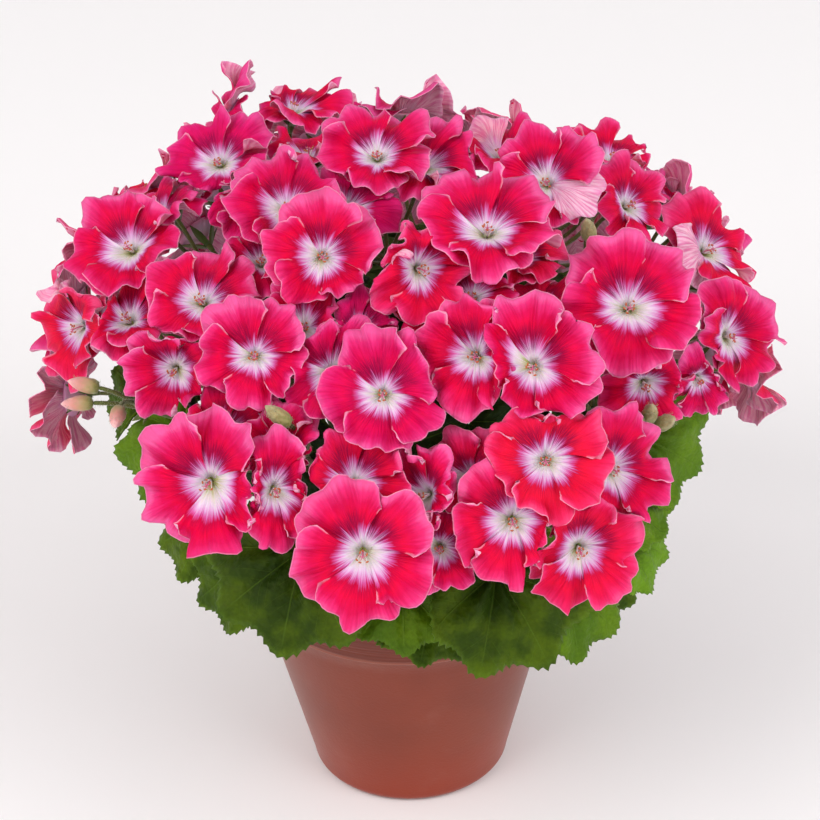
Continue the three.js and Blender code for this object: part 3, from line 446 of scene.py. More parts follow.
def rear_heads(random):
    heads = []
    for ring in REAR_RINGS:
        for i in range(ring.heads):
            azimuth = ring.start + (ring.end - ring.start) * i / (ring.heads - 1)
            centre = dome_point(azimuth, ring.rise)
            axes = axes_around(dome_normal(centre), UP)
            florets = []
            for k in range(ring.florets):
                turn = 2 * math.pi * (k + next(random) * REAR_FLORET.shift) / ring.florets
                out = REAR_FLORET.step * ((k + i) % 3 - 1)
                florets.append(rear_floret(centre, axes, turn, ring.ring, out, random))
            heads.append(Record(name=f"{ring.name}_{i + 1}", florets=florets, bud_rows=[]))
    return heads


def make_leaf(place, axis, guide, roll, width, tint, random):
    axes = axes_around(axis, guide, roll)
    middle = place + axes[1] * LEAF.middle * width
    phase = next(random) * 2 * math.pi
    return Record(
        place=place, axes=axes, width=width, tint=tint, phase=phase, middle=middle,
        size=LEAF.reach * width, outward=axes[2], walls=[], seen=False,
    )


def ring_leaf(ring, azimuth, height, random):
    lift = math.radians(ring.facing)
    outward = outward_at(azimuth)
    axis = outward * math.cos(lift) + UP * math.sin(lift)
    turn = LEAF_TURN.spread * (next(random) - 0.5)
    tip = outward - UP * LEAF_TURN.droop
    place = outward * ring.radius + UP * height
    return make_leaf(place, axis, tip, turn, ring.width, HIDDEN_SHADE_TINT, random)


def inner_leaf(index, random):
    """Inner leaves lie on a smaller dome, from its lowest to its highest by the golden angle."""
    low = math.sin(math.radians(INNER_LEAVES.lowest))
    high = math.sin(math.radians(INNER_LEAVES.highest))
    lift = low + (high - low) * index / (INNER_LEAVES.count - 1)
    level = math.sqrt(1 - lift * lift)
    outward = outward_at(INNER_LEAVES.turn * index)
    height = INNER_LEAVES.centre_height + INNER_LEAVES.rise * lift
    middle = outward * INNER_LEAVES.radius * level + UP * height
    axis = outward * level / INNER_LEAVES.radius + UP * lift / INNER_LEAVES.rise
    turn = LEAF_TURN.spread * (next(random) - 0.5)
    tip = outward - UP * LEAF_TURN.droop
    place = middle - axes_around(axis, tip, turn)[1] * LEAF.middle * INNER_LEAVES.width
    return make_leaf(place, axis, tip, turn, INNER_LEAVES.width, HIDDEN_SHADE_TINT, random)


def make_leaves(random):
    leaves = []
    for x, y, front, width, right, up, tip, tint in LEAVES_SEEN:
        line = sight_line(x, y)
        place = CAMERA.eye + line * (-front - CAMERA.eye[1]) / line[1]
        leaf = make_leaf(place, facing(right, up), CAMERA.up, tip, width, tint, random)
        leaf.seen = True
        leaves.append(leaf)
    for i in range(REAR_LEAVES.count):
        share = i / (REAR_LEAVES.count - 1)
        azimuth = REAR_LEAVES.start + (REAR_LEAVES.end - REAR_LEAVES.start) * share
        height = REAR_LEAVES.high if i % 2 else REAR_LEAVES.low
        leaves.append(ring_leaf(REAR_LEAVES, azimuth, height, random))
    leaves += [inner_leaf(i, random) for i in range(INNER_LEAVES.count)]
    return leaves


def separate(blades):
    """Petals and leaves that would cross each keep to their own side of a leaning plane."""
    for i, a in enumerate(blades):
        for b in blades[i + 1:]:
            across = b.middle - a.middle
            if np.linalg.norm(across) > min(a.size + b.size + WALL.spare, WALL.reach):
                continue
            outward = unit(a.outward + b.outward)
            normal = unit(across + outward * WALL.tilt * (across @ outward))
            point = a.middle + across * a.size / (a.size + b.size)
            low = max(a.middle @ normal, a.place @ normal) + WALL.foot
            high = min(b.middle @ normal, b.place @ normal) - WALL.foot
            offset = min(max(point @ normal, low), high) if low < high else (low + high) / 2
            a.walls.append((normal, offset))
            b.walls.append((-normal, -offset))


def bend_clear(blade, points, layer):
    """Moves points to their blade's side of every wall. `layer` is -1 to 1 across a blade."""
    points = points.copy()
    for _ in range(WALL.passes):
        moved = 0.0
        for normal, offset in blade.walls:
            margin = WALL.margin + WALL.layer * (1 - normal @ blade.axes[2] * layer)
            excess = np.maximum(points @ normal - offset + margin, 0)
            points -= excess[..., None] * normal
            moved = max(moved, excess.max())
        if moved < 0.01:
            break
    return points


def blurred(values, times, axes):
    """Values softened along the named axes of their grid."""
    for _ in range(times):
        for axis in axes:
            index = np.arange(values.shape[axis])
            before = np.take(values, np.maximum(index - 1, 0), axis)
            after = np.take(values, np.minimum(index + 1, index[-1]), axis)
            values = 0.5 * values + 0.25 * (before + after)
    return values


def fitted_reach(blade, edge_at, layer):
    """How far each point of a blade's edge may reach before the walls bend it too far."""
    reach = np.full(len(layer), REACHES[0])
    for share in REACHES:
        free = to_world(blade, edge_at(share))
        moved = np.linalg.norm(bend_clear(blade, free, layer) - free, axis=-1)
        reach = np.where(moved <= WALL.bend * blade.size, share, reach)
    return reach


def bent_grid(blade, local, layer, times):
    """A blade's grid of points in the world, bent softly clear of the walls."""
    free = to_world(blade, local)
    shift = bend_clear(blade, free, layer) - free
    return free + blurred(shift, times, (0, 1))


# Meshes: parts are gathered, each with its points, faces, material and values by point


def new_object(name, data):
    holder = bpy.data.objects.new(name, data)
    bpy.context.scene.collection.objects.link(holder)
    return holder


class Parts:
    def __init__(self, *values):
        self.points = []
        self.faces = []
        self.slots = []
        self.values = {name: [] for name in values}
        self.count = 0

    def add(self, points, faces, slot=0, **values):
        points = np.asarray(points, float).reshape(-1, 3)
        self.points.append(points)
        for block in faces:
            self.faces.append(np.asarray(block, int) + self.count)
            self.slots.append(slot)
        for name, stored in self.values.items():
            value = np.asarray(values.get(name, 0.0), float)
            stored.append(np.broadcast_to(value.reshape(-1), len(points)))
        self.count += len(points)

    def build(self, name, *materials):
        mesh = bpy.data.meshes.new(name)
        points = np.concatenate(self.points) * MM
        corners = np.concatenate([block.reshape(-1) for block in self.faces])
        sizes = np.concatenate([np.full(len(b), b.shape[1]) for b in self.faces])
        slots = np.concatenate([np.full(len(b), s) for b, s in zip(self.faces, self.slots)])
        starts = np.concatenate(([0], np.cumsum(sizes)[:-1]))
        mesh.vertices.add(len(points))
        mesh.vertices.foreach_set("co", points.astype(np.float32).reshape(-1))
        mesh.loops.add(len(corners))
        mesh.loops.foreach_set("vertex_index", corners.astype(np.int32))
        mesh.polygons.add(len(sizes))
        mesh.polygons.foreach_set("loop_start", starts.astype(np.int32))
        for material in materials:
            mesh.materials.append(material)
        mesh.polygons.foreach_set("material_index", slots.astype(np.int32))
        mesh.polygons.foreach_set("use_smooth", np.full(len(sizes), True))
        for value_name, stored in self.values.items():
            layer = mesh.attributes.new(value_name, "FLOAT", "POINT")
            layer.data.foreach_set("value", np.concatenate(stored).astype(np.float32))
        mesh.update(calc_edges=True)
        mesh.validate()
        return new_object(name, mesh)


def finish_piece(piece, slot, *nodes):
    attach(piece, "root")
    if nodes:
        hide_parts(*nodes)


def grid_faces(rows, columns):
    index = np.arange(rows * columns).reshape(rows, columns)
    corners = (index[:-1, :-1], index[:-1, 1:], index[1:, 1:], index[1:, :-1])
    return np.stack(corners, axis=-1).reshape(-1, 4)


def grid_normals(points):
    normal = np.cross(np.gradient(points, axis=1), np.gradient(points, axis=0))
    length = np.linalg.norm(normal, axis=-1, keepdims=True)
    return normal / np.maximum(length, 1e-9)


def add_sheet(parts, points, thickness, **values):
    """A grid of points as a thin closed sheet, with `back` set to 1 on its second face."""
    rows, columns = points.shape[:2]
    normal = grid_normals(points)
    half = 0.5 * np.broadcast_to(thickness, (rows, columns))[..., None]
    both = np.stack((points + normal * half, points - normal * half))
    size = rows * columns
    front = grid_faces(rows, columns)[:, ::-1]
    back = grid_faces(rows, columns) + size
    index = np.arange(size).reshape(rows, columns)
    border = np.concatenate((index[0, :-1], index[:-1, -1], index[-1, :0:-1], index[:0:-1, 0]))
    following = np.roll(border, -1)
    rim = np.stack((border, following, following + size, border + size), axis=-1)
    doubled = {
        name: np.tile(np.broadcast_to(value, (rows, columns)).reshape(-1), 2)
        for name, value in values.items()
    }
    parts.add(both, (front, back, rim), back=np.repeat((0.0, 1.0), size), **doubled)


def bezier(points, count):
    share = np.linspace(0, 1, count)[:, None]
    points = [np.broadcast_to(point, (count, 3)) for point in points]
    while len(points) > 1:
        points = [a + (b - a) * share for a, b in zip(points, points[1:])]
    return points[0]


def add_rings(parts, rings, ends, **values):
    """A closed body of rings of points between two end points. Values run from end to end."""
    count, sides = rings.shape[:2]
    centre = count * sides
    index = np.arange(centre).reshape(count, sides)
    around = np.roll(index, -1, axis=1)
    walls = np.stack((index[:-1], around[:-1], around[1:], index[1:]), axis=-1).reshape(-1, 4)
    first = np.stack((around[0], index[0], np.full(sides, centre)), axis=-1)
    last = np.stack((index[-1], around[-1], np.full(sides, centre + 1)), axis=-1)
    spread = {}
    for name, value in values.items():
        value = np.broadcast_to(value, count + 2)
        spread[name] = np.concatenate((np.repeat(value[1:-1], sides), value[[0, -1]]))
    points = np.concatenate((rings.reshape(-1, 3), ends))
    parts.add(points, (walls, first, last), **spread)


def add_tube(parts, path, radius, sides, **values):
    """A closed round tube along a path. The radius and the values may change along it."""
    count = len(path)
    tangent = unit(np.gradient(path, axis=0))
    guide = UP if abs(tangent[0] @ UP) < 0.9 else np.array((1.0, 0, 0))
    side = []
    for direction in tangent:
        guide = unit(guide - direction * (guide @ direction))
        side.append(guide)
    side = np.array(side)
    other = np.cross(tangent, side)
    angle = 2 * math.pi * np.arange(sides)[:, None] / sides
    radius = np.broadcast_to(radius, count)[:, None, None]
    ring = side[:, None] * np.cos(angle) + other[:, None] * np.sin(angle)
    padded = {name: np.pad(np.broadcast_to(v, count), 1, "edge") for name, v in values.items()}
    add_rings(parts, path[:, None] + radius * ring, path[[0, -1]], **padded)


def lathe_points(profile, sides):
    radius, height = np.asarray(profile, float).T[..., None]
    angle = 2 * math.pi * np.arange(sides) / sides
    height = np.broadcast_to(height, (len(profile), sides))
    return np.stack((radius * np.sin(angle), -radius * np.cos(angle), height), axis=-1)


def lathe(profile, sides):
    """The rings and the two end points of a body turned round +Z, for a profile from axis to axis."""
    return lathe_points(profile[1:-1], sides), lathe_points(profile, 1)[[0, -1], 0]


# Materials


def linear(*colour):
    """A colour given by its 8-bit values as light."""
    share = np.array(colour) / 255
    light = np.where(share <= 0.04045, share / 12.92, ((share + 0.055) / 1.055) ** 2.4)
    return (*light.tolist(), 1.0)


class Look:
    """A node material whose methods add a node each and give its output."""

    def __init__(self, name, roughness, specular, **sockets):
        self.material = bpy.data.materials.new(name)
        self.material.use_nodes = True
        self.tree = self.material.node_tree
        self.shader = self.tree.nodes["Principled BSDF"]
        self.shader.inputs["Roughness"].default_value = roughness
        self.shader.inputs["Specular IOR Level"].default_value = specular
        for socket, value in sockets.items():
            self.shader.inputs[socket.replace("_", " ")].default_value = value

    def put(self, socket, value):
        if isinstance(value, bpy.types.NodeSocket):
            self.tree.links.new(value, socket)
        else:
            socket.default_value = value

    def node(self, kind, *inputs, **settings):
        """A new node with its settings, and with values or links for its first inputs."""
        node = self.tree.nodes.new(f"ShaderNode{kind}")
        for name, setting in settings.items():
            setattr(node, name, setting)
        for socket, value in zip(node.inputs, inputs):
            self.put(socket, value)
        return node

    def value(self, name):
        return self.node("Attribute", attribute_name=name).outputs["Fac"]

    def math(self, operation, a, b=0.0, c=0.0):
        return self.node("Math", a, b, c, operation=operation).outputs["Value"]

    def times(self, a, b, plus=0.0):
        return self.math("MULTIPLY_ADD", a, b, plus)

    def nudged(self, base, value, amount, middle=0.5):
        """The base, moved by how far the value lies above its middle."""
        return self.times(self.math("SUBTRACT", value, middle), amount, base)

    def span(self, value, low, high, start=0.0, end=1.0):
        """The value mapped smoothly from low..high to start..end."""
        inputs = (value, low, high, start, end)
        return self.node("MapRange", *inputs, interpolation_type="SMOOTHSTEP").outputs["Result"]

    def mix(self, share, a, b, blend="MIX"):
        """Two colours mixed, each an output or its 8-bit values."""
        node = self.node("Mix", share, data_type="RGBA", blend_type=blend)
        for socket, colour in zip(node.inputs[6:8], (a, b)):
            self.put(socket, linear(*colour) if isinstance(colour, tuple) else colour)
        return node.outputs[2]

    def layered(self, base, *layers):
        """The base with colours laid over it in turn, each with its share."""
        for share, colour in layers:
            base = self.mix(share, base, colour)
        return base

    def shaded(self, base, tone):
        return self.mix(1.0, base, self.vector(tone, tone, tone), "MULTIPLY")

    def vector(self, x, y, z):
        return self.node("CombineXYZ", x, y, z).outputs["Vector"]

    def place(self):
        return self.node("TexCoord").outputs["Object"]

    def stretched(self, vector, *scale):
        node = self.node("Mapping", vector)
        node.inputs["Scale"].default_value = scale
        return node.outputs["Vector"]

    def noise(self, vector, scale=1.0, detail=2.0, roughness=0.5):
        node = self.node("TexNoise", vector)
        node.inputs["Scale"].default_value = scale
        node.inputs["Detail"].default_value = detail
        node.inputs["Roughness"].default_value = roughness
        return node.outputs["Fac"]

    def ramp(self, value, stops):
        node = self.node("ValToRGB", value)
        elements = node.color_ramp.elements
        for element, (position, colour) in zip(elements, (stops[0], stops[-1])):
            element.position = position
            element.color = linear(*colour)
        for position, colour in stops[1:-1]:
            elements.new(position).color = linear(*colour)
        return node.outputs["Color"]

    def bump(self, height, distance, strength):
        node = self.node("Bump", strength, distance)
        self.put(node.inputs["Height"], height)
        self.put(self.shader.inputs["Normal"], node.outputs["Normal"])

    def colour(self, value):
        self.put(self.shader.inputs["Base Color"], value)


def petal_material():
    look = Look(
        "petal", 0.6, 0.07, Subsurface_Weight=0.15, Subsurface_Radius=(1.0, 0.15, 0.25),
        Subsurface_Scale=0.001,
    )
    names = ("along", "across", "seed", "tint", "upper", "back", "edge")
    along, across, seed, tint, upper, back, edge = map(look.value, names)

    def streaks(times, stretch):
        lane = look.times(across, times, look.times(seed, 97.0))
        return look.noise(look.vector(lane, look.times(along, stretch), seed))

    broad, fine, hair = streaks(4.0, 1.2), streaks(22.0, 2.2), streaks(46.0, 2.4)
    own = look.noise(look.vector(seed, 3.7, 1.3), 5.0)
    # Colours from throat to margin, feathered along the streaks
    reach = look.nudged(along, own, 0.4, 0.45)
    reach = look.nudged(reach, broad, 0.3)
    reach = look.nudged(reach, fine, look.span(along, 0.5, 0.8, 0.27, 0.1))
    reach = look.times(upper, 0.1, look.math("SUBTRACT", reach, 0.03))
    petal = look.ramp(reach, [
        (0.02, (190, 192, 120)), (0.1, (228, 220, 206)), (0.23, (236, 216, 234)),
        (0.31, (224, 168, 216)), (0.38, (208, 84, 156)), (0.45, (190, 0, 62)),
        (0.6, (219, 0, 62)), (0.76, (208, 10, 80)), (0.9, (220, 44, 114)), (1.0, (230, 88, 150)),
    ])
    body = look.span(reach, 0.39, 0.49)
    warm = look.times(body, look.times(look.span(tint, 0.0, 1.0), 0.5))
    cool = look.times(body, look.times(look.span(tint, 0.0, -1.0), 0.45))
    petal = look.layered(petal, (warm, (234, 28, 54)), (cool, (204, 20, 116)))
    petal = look.shaded(petal, look.span(fine, 0.3, 0.7, 0.91, 1.05))
    # Dark feathers round the throat, mostly on the upper petals
    zone = look.times(look.span(along, 0.14, 0.28), look.span(along, 0.62, 0.42))
    zone = look.times(zone, look.span(look.math("ABSOLUTE", across), 0.8, 0.4))
    zone = look.times(zone, look.times(upper, 0.66, 0.08))
    feather = look.times(zone, look.span(look.times(fine, 0.4, hair), 0.6, 0.74))
    # The pale margin and the pale back
    worn = look.nudged(edge, fine, 0.8)
    frill = look.times(look.span(worn, 0.6, 0.05), look.span(fine, 0.3, 0.7, 0.4, 0.8))
    pale = look.mix(look.span(fine, 0.35, 0.65), (228, 136, 182), (244, 204, 224))
    faded = look.math("MAXIMUM", look.times(back, 0.68), look.value("pale"))
    layers = ((feather, (104, 6, 58)), (frill, (248, 170, 198)), (faded, pale))
    look.colour(look.layered(petal, *layers))
    grain = look.noise(look.place(), 1400.0)
    relief = look.times(fine, 1.6, look.times(grain, 0.5))
    look.bump(look.times(broad, 4.0, relief), 0.0004, 0.8)
    return look.material


def leaf_material():
    look = Look(
        "leaf", 0.5, 0.11, Subsurface_Weight=0.1, Subsurface_Radius=(0.5, 1.0, 0.15),
        Subsurface_Scale=0.001,
    )
    share, vein, rib, back, tint = map(look.value, ("share", "vein", "rib", "back", "tint"))
    place = look.place()
    blotch, grain = look.noise(place, 90.0, 3.0), look.noise(place, 900.0, 3.0)
    # A net of a main vein for each lobe and faint ribs that branch off them
    main = look.times(look.span(vein, 0.45, 0.1), look.span(share, 1.0, 0.7))
    wave = look.math("PINGPONG", rib, 0.5)
    side = look.times(look.span(wave, 0.07, 0.01), look.span(share, 0.1, 0.3))
    worn = look.span(look.noise(place, 160.0), 0.35, 0.6)
    net = look.math("MAXIMUM", look.times(main, 0.3), look.times(side, look.times(worn, 0.1)))
    leaf = look.layered(
        (48, 70, 2),
        (look.span(blotch, 0.35, 0.65), (78, 101, 4)),
        (look.times(look.span(tint, 0.0, 1.0), 0.7), (112, 158, 28)),
        (look.span(tint, 0.0, -1.0), (16, 32, 2)),
        # Painted shade: the blade darker towards its foot, for the shade the flowers above cast on it
        (look.span(share, 0.2, 0.75, 0.5, 0.0), (24, 46, 4)),
        (look.span(share, 0.92, 1.0, 0.0, 0.3), (96, 128, 36)),
        (net, (100, 132, 40)),
        (look.times(back, 0.5), (128, 150, 84)),
    )
    look.colour(look.shaded(leaf, look.span(grain, 0.3, 0.7, 0.9, 1.08)))
    relief = look.times(net, -1.6, look.times(grain, 0.4))
    look.bump(look.times(look.noise(place, 320.0, 1.0), 2.2, relief), 0.0006, 0.9)
    return look.material


def stem_material():
    look = Look("stem", 0.5, 0.35, Subsurface_Weight=0.1, Subsurface_Scale=0.001, Sheen_Weight=0.2)
    place = look.place()
    grain = look.noise(look.stretched(place, 1.0, 1.0, 0.25), 1200.0)
    look.colour(look.layered(
        (84, 106, 32),
        (look.span(look.noise(place, 70.0, 3.0), 0.4, 0.7), (70, 86, 26)),
        (look.times(look.value("tint"), 0.7), (104, 58, 40)),
        (look.span(grain, 0.4, 0.7, 0.0, 0.25), (60, 78, 24)),
    ))
    look.bump(grain, 0.0003, 0.6)
    return look.material


def hair_material():
    look = Look("hair", 0.6, 0.3, Sheen_Weight=0.3)
    tone = look.noise(look.place(), 400.0, 1.0)
    look.colour(look.mix(tone, (150, 158, 112), (178, 180, 146)))
    return look.material


def bud_material():
    look = Look("bud", 0.5, 0.3, Subsurface_Weight=0.2, Subsurface_Scale=0.001, Sheen_Weight=0.25)
    grain = look.noise(look.place(), 700.0, 3.0)
    ripe = look.ramp(look.nudged(look.value("along"), grain, 0.25), [
        (0.0, (122, 132, 60)), (0.3, (176, 146, 106)), (0.55, (206, 140, 128)),
        (0.8, (226, 160, 160)), (1.0, (240, 200, 200)),
    ])
    young = look.mix(look.span(grain, 0.3, 0.7), (104, 122, 44), (150, 158, 92))
    look.colour(look.mix(look.value("green"), ripe, young))
    look.bump(grain, 0.0003, 0.6)
    return look.material


def stamen_material():
    look = Look("stamen", 0.5, 0.3, Subsurface_Weight=0.1, Subsurface_Scale=0.0005)
    kind = look.value("kind")
    grain = look.noise(look.place(), 2500.0)
    pollen = look.mix(grain, (206, 120, 70), (160, 70, 44))
    style = (look.span(kind, 1.2, 1.8), (206, 104, 140))
    look.colour(look.layered((236, 222, 222), (look.span(kind, 0.2, 0.8), pollen), style))
    look.bump(grain, 0.0002, 0.5)
    return look.material


def pot_material():
    look = Look("pot", 0.32, 0.36)
    place = look.place()
    band = look.value("band")
    grain = look.noise(place, 900.0, 3.0)
    turned = look.noise(look.stretched(place, 0.02, 0.02, 1.0), 900.0)
    look.colour(look.layered(
        (120, 45, 22),
        (look.span(look.noise(place, 26.0, 4.0), 0.3, 0.7), (129, 51, 28)),
        # Painted shade: the rim band painted darker for the leaves' shadow on it, and its turned stripes
        # darker as the shade of fine grooves
        (look.times(band, 0.3), (100, 46, 36)),
        (look.times(band, look.span(turned, 0.45, 0.6, 0.0, 0.3)), (90, 38, 30)),
        # Painted highlight: a lighter line on the bead under the rim band, where it catches the light
        (look.times(look.value("bead"), 0.4), (196, 124, 104)),
        # Painted reflected light: a warmer orange glow towards the pot's foot
        (look.times(look.value("foot"), 0.7), (146, 48, 20)),
        (look.span(look.noise(place, 60.0, 5.0), 0.55, 0.8, 0.0, 0.08), (184, 140, 124)),
    ))
    look.bump(look.times(turned, look.times(band, 5.0, 0.3), grain), 0.00014, 0.6)
    return look.material


def soil_material():
    look = Look("soil", 0.95, 0.2)
    place = look.place()
    crumbs = look.noise(place, 260.0, 5.0, 0.65)
    shred = look.noise(look.stretched(place, 1.0, 0.3, 1.0), 700.0, 3.0)
    look.colour(look.layered(
        (26, 19, 14),
        (look.span(crumbs, 0.3, 0.7), (64, 46, 32)),
        (look.span(shred, 0.6, 0.8, 0.0, 0.5), (104, 76, 50)),
    ))
    look.bump(crumbs, 0.0012, 0.9)
    return look.material


MATERIALS = Record(
    petal=petal_material(), leaf=leaf_material(), stem=stem_material(), hair=hair_material(),
    bud=bud_material(), stamen=stamen_material(), pot=pot_material(), soil=soil_material(),
)


# Florets


def funnel(share):
    """How high a floret's cup stands, for a share of its radius."""
    return FLORET.cup * (1 - np.exp(-FLORET.cup_rate * share))


def petal_shape(floret, petal, along, across):
    """A petal's middle surface in the floret's own axes: throat to tip, and -1 to 1 across."""
    free = smooth(FLORET.tube, 1, along)
    half = 180 / FLORET.petals
    overlap = PETAL.upper_overlap if petal.upper else PETAL.lower_overlap
    turn = math.radians(half * (2 * petal.number + 1) + petal.turn)
    spread = np.radians(half + PETAL.base_overlap + overlap * smooth(*PETAL.widening, along))
    angle = turn + across * spread
    length = FLORET.upper_length if petal.upper else FLORET.lower_length
    outline = 1 - free * (PETAL.roundness * across**2 + PETAL.corner * across**8)
    distance = PETAL.size * floret.radius * length * along * outline
    share = distance / floret.radius
    cup = funnel(share) - FLORET.reflex * share**4
    ruffle = FLORET.ruffle * np.sin(FLORET.ruffle_turns * across + floret.phases[petal.number])
    ruffle *= 1 - PETAL.calm * smooth(*PETAL.calming, -across)
    swell = sum(
        size * np.sin(wave * angle + phase)
        for size, wave, phase in zip(SWELL.sizes, SWELL.waves, floret.swell)
    )
    layers = PETAL.stagger * across * smooth(*PETAL.layering, along)
    height = cup + layers + free * ruffle + smooth(*PETAL.swelling, along) * swell
    return polar(distance, angle, floret.radius * height)


def spacing(points):
    """How far apart the columns of a grid stand at each of its points."""
    return np.linalg.norm(np.gradient(points, axis=1), axis=-1)


def ruffled(floret, petal, points, room, along, across):
    """Frills and scallops along a bent petal's margin, calmer where it is squeezed or overlain."""
    frill, crimp, scallop, notch, billow = (
        np.sin(turns * across + phase) for turns, phase in zip(petal.turns, petal.phases)
    )
    free = smooth(FLORET.tube, 1, along) * room
    under, over = smooth(*PETAL.overlaid, -across), smooth(*PETAL.overlaid, across)
    rise = PETAL.frill * frill * free + PETAL.crimp * crimp * free**2
    rise += PETAL.billow * billow * smooth(*PETAL.billowing, along)
    rise = rise * (1 - PETAL.calm * under) + PETAL.lift * (over - under) * free
    reach = free * (PETAL.scallop * scallop + PETAL.notch * notch)
    outward = unit(np.gradient(points, axis=0))
    shift = grid_normals(points) * rise[..., None] + outward * reach[..., None]
    return points + floret.radius * shift


def make_petal(number, chance):
    """What differs from petal to petal: its place, its turn and the waves across it."""
    return Record(
        number=number, upper=float(number in (0, FLORET.petals - 1)),
        turn=chance.uniform(-PETAL.turn, PETAL.turn), phases=chance.uniform(0, 2 * math.pi, 5),
        turns=chance.uniform(PETAL.fewest_waves, PETAL.most_waves),
    )


def add_petal(parts, floret, number, pale, chance):
    petal = make_petal(number, chance)
    rows, columns = PETAL.seen_grid if floret.seen else PETAL.hidden_grid
    across_line = np.linspace(-1, 1, columns)
    along_line = 1 - (1 - PETAL.start) * (1 - np.linspace(0, 1, rows)) ** PETAL.crowding

    def edge_at(share):
        return petal_shape(floret, petal, share, across_line)

    reach = blurred(fitted_reach(floret, edge_at, across_line), PETAL.reach_blur, (0,))
    along, across = np.meshgrid(along_line, across_line, indexing="ij")
    local = petal_shape(floret, petal, along * reach, across)
    points = bent_grid(floret, local, across, PETAL.bend_blur)
    room = smooth(*PETAL.squeezed, spacing(points) / spacing(local))
    room = blurred(room, PETAL.room_blur, (0, 1))
    points = ruffled(floret, petal, points, room, along, across)
    steps = np.linalg.norm(np.diff(points, axis=0), axis=-1)
    to_tip = np.concatenate((np.cumsum(steps[::-1], axis=0)[::-1], np.zeros((1, columns))))
    half = 0.5 * np.linalg.norm(points[:, -1] - points[:, 0], axis=-1)[:, None]
    to_side = (1 - np.abs(across)) * half + PETAL.margin * smooth(*PETAL.foot, along)
    edge = np.minimum(to_tip, to_side) + PETAL.margin * (1 - room)
    thinning = PETAL.thickness - PETAL.margin_thickness
    thickness = PETAL.margin_thickness + thinning * smooth(0, PETAL.margin, edge)
    add_sheet(
        parts, points, thickness, along=along, across=across, edge=edge, upper=petal.upper,
        tint=floret.tint, seed=floret.seed + number, pale=pale,
    )


def add_throat(parts, floret):
    """The funnel that closes the throat under the petals' feet."""
    rows, columns = THROAT.grid
    lines = (np.linspace(THROAT.start, THROAT.end, rows), np.linspace(0, 2 * math.pi, columns))
    along, turn = np.meshgrid(*lines, indexing="ij")
    height = floret.radius * (funnel(along) - THROAT.depth - THROAT.slope * along)
    points = bent_grid(floret, polar(floret.radius * along, turn, height), 0, 1)
    add_sheet(
        parts, points, THROAT.thickness, along=along, edge=PETAL.margin, tint=floret.tint,
        seed=floret.seed,
    )


def local_path(floret, rows):
    return floret.place + np.array(rows, float) @ floret.axes


def add_stamens(parts, floret, chance):
    """White filaments with rust-coloured anthers round a crimson style with five stigmas."""
    size = floret.radius
    for i in range(STAMEN.count):
        turn = 2 * math.pi * (i + 0.5 * chance.random()) / STAMEN.count
        lean = STAMEN.lean * (1 + chance.random())
        length = STAMEN.length + STAMEN.spread * chance.random()
        x, y = math.sin(turn), math.cos(turn) - STAMEN.back
        tip = size * np.array((lean * x, lean * y, length))
        path = bezier(local_path(floret, [(0, 0, STAMEN.foot * size), tip * STAMEN.bend, tip]), 4)
        add_tube(parts, path, STAMEN.radii, STAMEN.sides, kind=0.0)
        cross = unit(np.array((y, -x, STAMEN.tilt))) @ floret.axes
        spots = path[-1] + cross * np.linspace(-STAMEN.anther, STAMEN.anther, 4)[:, None]
        add_tube(parts, spots, STAMEN.anther_radii, STAMEN.anther_sides, kind=1.0)
    tip = size * np.array(STYLE.tip)
    style = bezier(local_path(floret, [(0, 0, 0), (0, 0, 0.5 * tip[2]), tip]), 5)
    add_tube(parts, style, STYLE.radius, STYLE.sides, kind=2.0)
    for i in range(STYLE.stigmas):
        turn = 2 * math.pi * i / STYLE.stigmas
        x, y = math.sin(turn), math.cos(turn)
        hook = tip + (STYLE.hook * x, STYLE.hook * y, STYLE.droop)
        path = bezier(local_path(floret, [tip, tip + (x, y, STYLE.rise), hook]), 3)
        add_tube(parts, path, STYLE.radii, STYLE.stigma_sides, kind=2.0)


def add_pointed(parts, base, kind, turn, reach, height, tint):
    """A small pointed leaf in its base's axes, folded along its middle."""
    across = np.linspace(-1, 1, kind.columns)
    half = kind.half * np.sin(math.pi * (kind.foot + (1 - kind.foot) * ALONG)) + kind.tip
    x = reach * math.sin(turn) + across * half * math.cos(turn)
    y = reach * math.cos(turn) - across * half * math.sin(turn)
    local = np.stack((x, y, height - kind.fold * half * across**2), axis=-1)
    add_sheet(parts, to_world(base, local), kind.thickness, tint=tint)


def add_calyx(parts, floret, chance):
    """The green tube under a floret, with five pointed sepals spread under its petals."""
    size = floret.radius
    path = local_path(floret, [(0, 0, height) for height in (-FLORET.calyx, *CALYX.heights)])
    add_tube(parts, path, CALYX.radii, CALYX.sides, tint=CALYX.tint)
    for i in range(SEPAL.count):
        turn = 2 * math.pi * (i + 0.5) / SEPAL.count + chance.uniform(-SEPAL.turn, SEPAL.turn)
        reach = SEPAL.start + (SEPAL.reach + SEPAL.spread * chance.random()) * size * ALONG
        height = funnel(reach / size) * size - SEPAL.depth - SEPAL.droop * size * (1 - ALONG)
        add_pointed(parts, floret, SEPAL, turn, reach, height, SEPAL.tint * ALONG)


def add_stalk(parts, points, kind):
    """A stalk along a curve, tapered and tinted from its first to its last point."""
    path = bezier(points, kind.steps)
    knots = kind.swell * np.sin(np.linspace(0, 6 * math.pi, kind.steps)) ** 2
    radius = np.linspace(*kind.radii, kind.steps) + knots
    add_tube(parts, path, radius, kind.sides, tint=np.linspace(*kind.tints, kind.steps))
    return path


def add_pedicel(parts, top, axis, hub):
    bend = top - axis * PEDICEL.bend * np.linalg.norm(hub.centre - top)
    return add_stalk(parts, [top, bend, hub.centre], PEDICEL)


